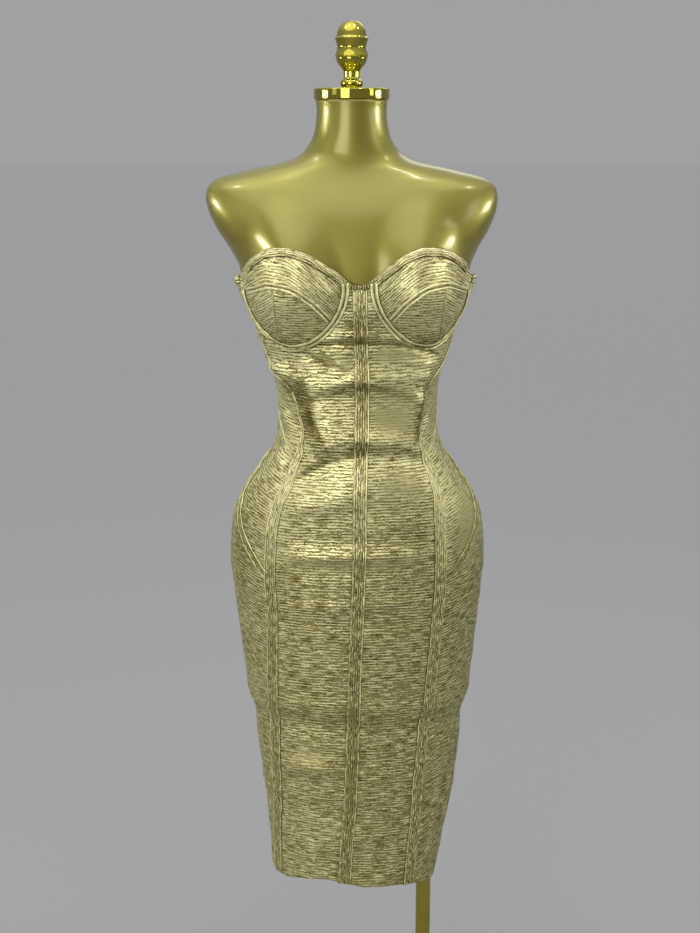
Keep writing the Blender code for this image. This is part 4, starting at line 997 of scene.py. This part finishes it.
def make_tapes(material, binding):
    """Make the tapes along the seams and the bindings of the edges."""
    strip("centre_front_tape_cloth",
          seam_route(centre_front, float(hem(0.0)) + OVER_HEM, CENTRE_TAPE_TOP, 400),
          ribbed_section(always(CENTRE_TAPE), CENTRE_TAPE), material, "centre_front_tape")
    for side, letter in SIDES:
        foot = float(hem(float(princess_angle(np.asarray(0.39), side)) * side)) + OVER_HEM
        high = PRINCESS_END_HEIGHT - 0.004
        corner = float(cup_edge_angle(np.asarray(CORNER[1]))) + 0.6
        # Columns: name, route, section, finish, whether it stands for a CAD node.
        for name, route, section, finish, replaces in (
                ("princess_tape", seam_route(princess_angle, foot, high, 400, side),
                 ribbed_section(princess_width, PRINCESS_WIDEST), material, True),
                ("hip_tape", seam_route(hip_seam, 0.869, 1.030, 120, side),
                 rolled_section(*HIP_TAPE), material, True),
                ("side_seam", seam_route(side_seam, 1.033, 1.244, 160, side),
                 mirrored_section(*SIDE_PIPING, PIPED), material, False),
                ("cup_seam", cup_seam_route(side), mirrored_section(*CUP_PIPING, PIPED),
                 material, False),
                ("underwire_channel", channel_route(side), rolled_section(*CHANNEL), material,
                 True),
                ("cup_band", band_route(side), rolled_section(*CUP_BAND), material, True),
                ("back_binding", edge_route(back_top, corner, 179.8, 300, -BINDING_INSIDE, side),
                 bound_section(always(BACK_WIDTH), side, BACK_THICKNESS), binding, True)):
            node = f"{name}_{letter}"
            if replaces:
                strip(f"{node}_cloth", route, section, finish, node)
            else:
                strip(node, route, section, finish)
    route = neckline_route()
    middle = resample(*route, GATHER_STEP)[2][-1] / 2

    def width_of(far):
        """Return the binding's width, which is less over the gore."""
        away = abs(far - middle) - GORE_HALF
        return blend(GORE_WIDTH, NECK_WIDTH, float(ease(away / WIDENING)))

    strip("neckline_binding_cloth", route, bound_section(width_of, 1, NECK_THICKNESS), binding,
          "neckline_binding_l", "neckline_binding_r", "gore_binding",
          spacing=GATHER_STEP, relief=gathers(middle))


def stitch_line(route, aside, rise):
    """Return the middles, headings and normals of a row of stitches beside a route."""
    angle, height, _ = resample(*route, STITCH_PITCH)
    distance = np.full_like(angle, aside)
    angle, height = beside(angle, height, np.gradient(angle), np.gradient(height), distance)
    points = cloth(angle, height, rise)
    return points, unit(np.gradient(points, axis=0)), normal_at(angle, height)


def make_stitches(material):
    """Make the topstitching along the tapes, as short slim loops of thread."""
    on_tape = TAPE + 0.0001
    centre = seam_route(centre_front, 0.402, 1.255, 400)
    # Columns: route, distance to the right of it, height over the cloth.
    rows = [(centre, -0.0072, on_tape), (centre, 0.0072, on_tape),
            (neckline_route(), 0.0020, 0.0013)]
    for side, _ in SIDES:
        skirt = seam_route(princess_angle, 0.402, 1.030, 300, side)
        rows += [
            (skirt, -0.0062, on_tape),
            (skirt, 0.0062, on_tape),
            (seam_route(side_seam, 1.036, 1.240, 120, side), 0.0, 0.00075),
            (seam_route(princess_angle, 1.066, 1.190, 100, side), 0.0, TAPE + 0.0002),
            (seam_route(hip_seam, 0.884, 1.024, 100, side), 0.0, 0.0009),
            (channel_route(side), 0.0, 0.0010),
            (band_route(side), 0.0, 0.0009),
            (cup_seam_route(side), 0.0022, 0.0001),
            (edge_route(back_top, 70.0, 179.0, 300, -0.0072, side), 0.0, 0.0012),
            (edge_route(hem, 0.5, 179.5, 400, 0.0130, side), 0.0, 0.0001),
        ]
    middles, headings, normals = (np.concatenate(values) for values in
                                  zip(*(stitch_line(*row) for row in rows)))
    sides = unit(np.cross(headings, normals))
    long, wide, high = headings * STITCH_HALF, sides * THREAD_HALF, normals * THREAD_HALF
    points = np.stack([middles - long, middles + wide, middles + high, middles - wide,
                       middles + long, middles - high], axis=1)
    faces = []
    for a in range(0, 6 * len(middles), 6):
        for i, j in ((1, 2), (2, 3), (3, 5), (5, 1)):
            faces += [(a, a + j, a + i), (a + 4, a + i, a + j)]
    keep(new_object("seam_stitches", points, faces, material, smooth=False), "foil_tape")


# ---------------- the zip at the back
def make_zip(lips_material, metal):
    """Make the concealed zip's two folded lips and the teeth that show between them."""
    levels = np.linspace(ZIP_BOTTOM, ZIP_TOP, 200)
    lip = mirrored_section(LIP_WIDTH, LIP_THICKNESS, PIPED)
    for side, letter in SIDES:
        angle = side * (180.0 - LIP_ASIDE / metres_per_degree(levels))
        strip(f"zip_lip_{letter}", (angle, levels), lip, lips_material)
    teeth = np.arange(ZIP_BOTTOM + 0.002, ZIP_TOP, TOOTH_PITCH)
    angle = np.full(len(teeth), 180.0)
    middles, normals = cloth(angle, teeth, TOOTH_RISE), normal_at(angle, teeth)
    along = unit(np.gradient(middles, axis=0))
    across = np.cross(along, normals)
    lean = across * np.where(np.arange(len(teeth)) % 2, TOOTH_LEAN, -TOOTH_LEAN)[:, None]
    points = np.stack([
        middles + lean
        + across * i * TOOTH_ACROSS + along * j * TOOTH_ALONG + normals * k * TOOTH_DEEP
        for i in (-1, 1) for j in (-1, 1) for k in (-1, 1)], axis=1)
    faces = [[8 * tooth + corner for corner in face]
             for tooth in range(len(teeth)) for face in BOX_FACES]
    keep(new_object("zip_teeth", points, faces, metal, smooth=False), "zip_metal")


# ---------------- the form and its stand
def make_form(material):
    """Loft the form finely through the same sections as the CAD solid, with a rolled lower edge."""
    edge = FORM_BOTTOM + FORM_EDGE
    heights = np.linspace(FORM_BOTTOM, FORM_TOP, 240)
    heights = np.unique([*heights, FORM_BOTTOM + FORM_EDGE / 4, edge])
    angle, height = np.meshgrid(np.linspace(-180, 180, 161)[:-1], heights)
    level = normal_at(angle, height, form_surface) * np.array([1.0, 1.0, 0.0])
    steep = np.linalg.norm(level, axis=-1)
    inset = form_inset(height) * np.minimum(1 / steep, STEEPEST)
    rolled = FORM_EDGE * (1 - np.sqrt(1 - np.clip((edge - height) / FORM_EDGE, 0, 1) ** 2))
    points = form_surface(angle, height) - level / steep[..., None] * (inset + rolled)[..., None]
    piece = new_object("form_body", points, tube_faces(*angle.shape, False), material)
    keep(piece, "form_paint", "display_form")


def smooth_profile(rows, count):
    """Return a profile of (radius, height) with rounded stretches between its rows."""
    run = np.concatenate([[0], np.hypot(*np.diff(np.array(rows), axis=0).T).cumsum()])
    table = [(far, *row) for far, row in zip(run, rows)]
    even = np.linspace(0, run[-1], count)
    return list(zip(curve(table, 1)(even), curve(table, 2)(even)))


def rounded(corners, radius, steps=6):
    """Return a profile with its inner corners rounded."""
    profile = [corners[0]]
    for before, corner, after in zip(corners, corners[1:], corners[2:]):
        before, corner, after = (np.array(point, float) for point in (before, corner, after))
        start = corner + unit(before - corner) * radius
        end = corner + unit(after - corner) * radius
        for t in np.linspace(0, 1, steps):
            profile.append(tuple((1 - t) ** 2 * start + 2 * t * (1 - t) * corner + t * t * end))
    return [*profile, corners[-1]]


def turned(node, profile, middle, steps, material):
    """Make a solid turned round an upright axis, from (radius, height) rows, top first."""
    turns = np.linspace(0, 2 * math.pi, steps + 1)[:-1]
    radius, height = (np.array(values)[:, None] for values in zip(*profile))
    x, y = radius * np.cos(turns), radius * np.sin(turns)
    points = np.stack([x + middle[0], y + middle[1], height + middle[2] + 0 * x], axis=-1)
    faces = tube_faces(len(profile), steps, True)
    piece = new_object(f"{node}_metal", points, faces, material)
    piece.data.set_sharp_from_angle(angle=math.radians(35))
    keep(piece, "polished_gold", node)


def make_stand(polish):
    """Make the neck cap, finial, pole and base."""
    cap_bottom = FORM_TOP + GAP
    high, edge, face = CAP_THICKNESS, CAP_RADIUS, CAP_RADIUS - CAP_EDGE
    cap = rounded([(CENTRE, high), (face, high), (edge, high - CAP_EDGE), (edge, CAP_EDGE),
                   (face, 0), (CENTRE, 0)], CAP_EDGE / 2, 4)
    turned("neck_cap", cap, (*NECK_MIDDLE, cap_bottom), 128, polish)
    finial = smooth_profile(FINIAL_DOME, 40)
    for stretch in (FINIAL_WAIST, FINIAL_BOWL, FINIAL_BEAD):
        finial += smooth_profile(stretch, 24)[1:]
    finial_bottom = cap_bottom + CAP_THICKNESS + GAP - FINIAL_BEAD[-1][1]
    turned("neck_finial", finial, (*NECK_MIDDLE, finial_bottom), 72, polish)
    top, bottom = FORM_BOTTOM - GAP, BASE_HEIGHT + GAP
    under, over = top - FLANGE_HEIGHT, bottom + FLANGE_HEIGHT
    pole = rounded([(CENTRE, top), (FLANGE_RADIUS, top), (FLANGE_RADIUS, under),
                    (POLE_RADIUS, under), (POLE_RADIUS, over), (FLANGE_RADIUS, over),
                    (FLANGE_RADIUS, bottom), (CENTRE, bottom)], POLE_ROUND)
    turned("stand_pole", pole, (POLE_X, 0, 0), 64, polish)
    base = rounded([(CENTRE, BASE_HEIGHT), (BASE_RADIUS - BASE_EDGE, BASE_HEIGHT),
                    (BASE_RADIUS, BASE_HEIGHT - BASE_EDGE), (BASE_RADIUS, 0),
                    (CENTRE, 0)], BASE_ROUND)
    turned("stand_base", base, (0, 0, 0), 160, polish)


# ---------------- materials
class Nodes:
    """A material's node tree, with short calls for the nodes that the finishes share."""

    def __init__(self, name):
        self.material = bpy.data.materials.new(name)
        self.material.use_nodes = True
        self.tree = self.material.node_tree
        self.shader = self.tree.nodes["Principled BSDF"]

    def set(self, node, name, value):
        socket = node.inputs[int(name) if name.isdigit() else name.replace("_", " ")]
        if isinstance(value, bpy.types.NodeSocket):
            self.tree.links.new(value, socket)
        else:
            socket.default_value = (*value, 1) if isinstance(value, tuple) else value

    def add(self, kind, **inputs):
        node = self.tree.nodes.new("ShaderNode" + kind)
        for name, value in inputs.items():
            self.set(node, name, value)
        return node

    def math(self, operation, first, *others):
        """Return one value after this operation with each of the others in turn."""
        for other in others or (0.0,):
            node = self.add("Math")
            node.operation = operation
            self.set(node, "0", first)
            self.set(node, "1", other)
            first = node.outputs[0]
        return first

    def plus(self, *values):
        return self.math("ADD", *values)

    def minus(self, *values):
        return self.math("SUBTRACT", *values)

    def times(self, *values):
        return self.math("MULTIPLY", *values)

    def centred(self, noise, amount):
        """Return a noise's swing to either side of nothing."""
        return self.times(self.minus(noise, 0.5), amount)

    def map_place(self, name):
        """Return the two coordinates of one of the mesh's maps."""
        node = self.add("UVMap")
        node.uv_map = name
        return self.add("SeparateXYZ", Vector=node.outputs[0]).outputs[:2]

    def object_place(self):
        return self.add("TexCoord").outputs["Object"]

    def noise(self, vector, scale=1.0, detail=2.0, roughness=0.5):
        node = self.add("TexNoise", Vector=vector, Scale=scale, Detail=detail, Roughness=roughness)
        return node.outputs["Fac"]

    def ramp(self, value, low, high, start=0.0, end=1.0):
        node = self.add("MapRange", Value=value, From_Min=low, From_Max=high,
                        To_Min=start, To_Max=end)
        node.interpolation_type = "SMOOTHSTEP"
        return node.outputs[0]

    def mix(self, share, a, b):
        node = self.add("Mix")
        node.data_type = "RGBA"
        for name, value in (("0", share), ("6", a), ("7", b)):
            self.set(node, name, value)
        return node.outputs[2]

    def bump(self, height, distance, strength):
        node = self.add("Bump", Height=height, Distance=distance, Strength=strength)
        self.set(self.shader, "Normal", node.outputs[0])

    def finish(self, **inputs):
        """Set the shader's sockets and return the material."""
        for name, value in inputs.items():
            self.set(self.shader, name, value)
        return self.material


def foil_material(name, rib, streak, seed, fill, whole, shine, edged):
    """Return cracked gold foil on a ribbed knit: broken dashes along the ribs."""
    nodes = Nodes(name)
    along, across = nodes.map_place("rib")
    place = nodes.add("SeparateXYZ", Vector=nodes.object_place()).outputs[2]

    def grain(off, fine_along, fine_off, shift, detail, roughness=0.5):
        vector = nodes.add("CombineXYZ", X=nodes.times(along, fine_along),
                           Y=nodes.times(off, fine_off), Z=seed + shift)
        return nodes.noise(vector.outputs[0], 1.0, detail, roughness)

    drift = grain(across, 30.0, 55.0, 0.0, 1.0)
    ragged = grain(across, 380.0, 300.0, 20.0, 1.0)
    patch = grain(across, 13.0, 26.0, 5.0, 2.0)
    bent = nodes.plus(across, nodes.centred(drift, rib * 0.45), nodes.centred(ragged, rib * 0.74))
    wave = nodes.math("SINE", nodes.times(bent, 2 * math.pi / rib))
    dash = grain(bent, streak, 2.3 / rib, 3.0, 2.0, 0.55)
    speck = grain(bent, streak * 5, 3.1 / rib, 9.0, 2.0, 0.6)
    level = nodes.plus(dash, nodes.times(wave, nodes.ramp(place, 0.55, 0.95, 0.060, 0.098)),
                       nodes.centred(speck, 0.34), nodes.centred(patch, 0.085))
    if edged:
        # Painted highlight on a strip's raised edges and painted shade in its grooves, from its
        # edge map.
        painted_highlight, painted_shade = nodes.map_place("edge")
        level = nodes.minus(nodes.plus(level, nodes.times(painted_highlight, 0.20)), nodes.times(painted_shade, 0.32))
    # Painted shade and wear from their table, as more broken foil, and painted highlight where it
    # is negative; and how even the foil is.
    shade_and_wear_level, satin = nodes.map_place("worn")
    level = nodes.minus(nodes.plus(level, nodes.ramp(place, *WHOLER, 0.0, whole)), shade_and_wear_level)
    fresh = nodes.ramp(level, fill + 0.010, fill + 0.034)
    crack = nodes.math("ABSOLUTE", nodes.minus(level, fill))
    foil = nodes.math("MINIMUM", nodes.ramp(crack, 0.009, 0.038),
                      nodes.ramp(level, fill - 0.158, fill - 0.114))
    broken = nodes.mix(foil, KNIT_BARE, nodes.mix(fresh, FOIL_WORN, FOIL_FRESH))
    satin = nodes.times(satin, 0.25 if edged else 1.0)
    height = nodes.plus(nodes.times(foil, 0.4), nodes.times(fresh, 0.4),
                        nodes.plus(nodes.times(wave, 0.14), nodes.times(speck, 0.5)))
    nodes.bump(nodes.times(height, nodes.ramp(satin, 0.0, 1.0, 1.0, 0.35)), 0.0005, 1.0)
    return nodes.finish(Base_Color=nodes.mix(satin, broken, FOIL_EVEN),
                        Metallic=nodes.ramp(foil, 0.0, 1.0, 0.45, shine),
                        Roughness=nodes.ramp(fresh, 0.0, 1.0, 0.52, 0.43), Specular_IOR_Level=0.25)


def paint_material():
    """Return glossy metallic paint with a fine flake under a clear coat."""
    nodes = Nodes("form_paint")
    place = nodes.object_place()
    flake = nodes.noise(place, 1400.0, 1.0)
    cloud = nodes.noise(place, 7.0, 3.0)
    tone = nodes.ramp(nodes.plus(nodes.times(flake, 0.35), nodes.times(cloud, 0.65)), 0.35, 0.65)
    nodes.bump(flake, 0.00005, 0.25)
    return nodes.finish(Base_Color=nodes.mix(tone, PAINT_DARK, PAINT_LIGHT),
                        Metallic=0.66, Roughness=nodes.ramp(flake, 0.3, 0.7, 0.38, 0.44),
                        Coat_Weight=0.55, Coat_Roughness=0.17)


def polish_material(name, colour, roughness):
    """Return polished gold metal with faint wiping marks."""
    nodes = Nodes(name)
    place = nodes.object_place()
    smear = nodes.noise(place, 45.0, 4.0, 0.6)
    darker = tuple(value * 0.86 for value in colour)
    nodes.bump(nodes.noise(place, 380.0, 2.0), 0.00004, 0.15)
    return nodes.finish(Base_Color=nodes.mix(nodes.ramp(smear, 0.3, 0.7), darker, colour),
                        Roughness=nodes.ramp(smear, 0.35, 0.7, roughness, roughness * 2.2),
                        Metallic=1.0)


def thread_material():
    """Return gold thread with a fine twist in its tone."""
    nodes = Nodes("gold_thread")
    twist = nodes.noise(nodes.object_place(), 900.0, 2.0)
    return nodes.finish(Base_Color=nodes.mix(twist, THREAD_DARK, THREAD_LIGHT),
                        Metallic=0.45, Roughness=0.5)


# ---------------- floor, light and camera
def make_floor():
    far = FLOOR_HALF
    paint = Nodes("floor").finish(Base_Color=FLOOR_COLOUR, Roughness=0.9)
    corners = [(-far, -far, 0), (far, -far, 0), (far, far, 0), (-far, far, 0)]
    new_object("floor", corners, [(0, 1, 2, 3)], paint, smooth=False)


def area_light(name, place, target, size, watts, spread):
    data = bpy.data.lights.new(name, "AREA")
    data.shape = "RECTANGLE"
    data.size, data.size_y = size
    data.energy = watts
    data.color = LAMP_COLOUR
    data.spread = math.radians(spread)
    light = in_scene(name, data)
    light.location = place
    away = np.array(target, float) - np.array(place, float)
    flat = math.hypot(away[0], away[1])
    light.rotation_euler = (math.atan2(flat, -away[2]), 0.0, math.atan2(-away[0], away[1]))


def make_light():
    """Light the dress as a room does: a soft ceiling above its front, and small lamps in it."""
    world = bpy.data.worlds.new("studio")
    bpy.context.scene.world = world
    world.use_nodes = True
    tree = world.node_tree
    back = tree.nodes["Background"]
    upward = tree.nodes.new("ShaderNodeSeparateXYZ")
    tree.links.new(tree.nodes.new("ShaderNodeTexCoord").outputs["Generated"], upward.inputs[0])
    dome = tree.nodes.new("ShaderNodeMapRange")
    dome.interpolation_type = "SMOOTHSTEP"
    for name, number in DOME:
        dome.inputs[name].default_value = number
    tree.links.new(upward.outputs[2], dome.inputs["Value"])
    tree.links.new(dome.outputs[0], back.inputs["Strength"])
    back.inputs["Color"].default_value = DOME_COLOUR
    data = bpy.data.lights.new("sky", "SUN")
    data.energy = SKY_POWER
    data.angle = math.radians(SKY_WIDTH)
    in_scene("sky", data).rotation_euler = [math.radians(turn) for turn in SKY_TURN]
    for light in AREA_LIGHTS:
        area_light(*light)


def make_camera():
    data = bpy.data.cameras.new("camera")
    data.sensor_width = 36.0
    data.lens = CAMERA_LENS
    camera = in_scene("camera", data)
    camera.location = CAMERA_PLACE
    camera.rotation_euler = (math.radians(90 - CAMERA_DOWN), 0.0, 0.0)
    bpy.context.scene.camera = camera


def main():
    make_camera()
    make_light()
    make_floor()
    knit, tape, binding = (foil_material(*foil) for foil in FOILS)
    make_cloth(knit)
    make_tapes(tape, binding)
    make_stitches(thread_material())
    metal = polish_material("zip_metal", *ZIP_METAL)
    make_zip(tape, metal)
    for node in ("zip_slider", "zip_pull"):
        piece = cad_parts[node]
        piece.data.materials.clear()
        piece.data.materials.append(metal)
    make_form(paint_material())
    make_stand(polish_material("polished_gold", *STAND_METAL))
    bpy.context.scene.view_settings.view_transform = "Standard"


main()
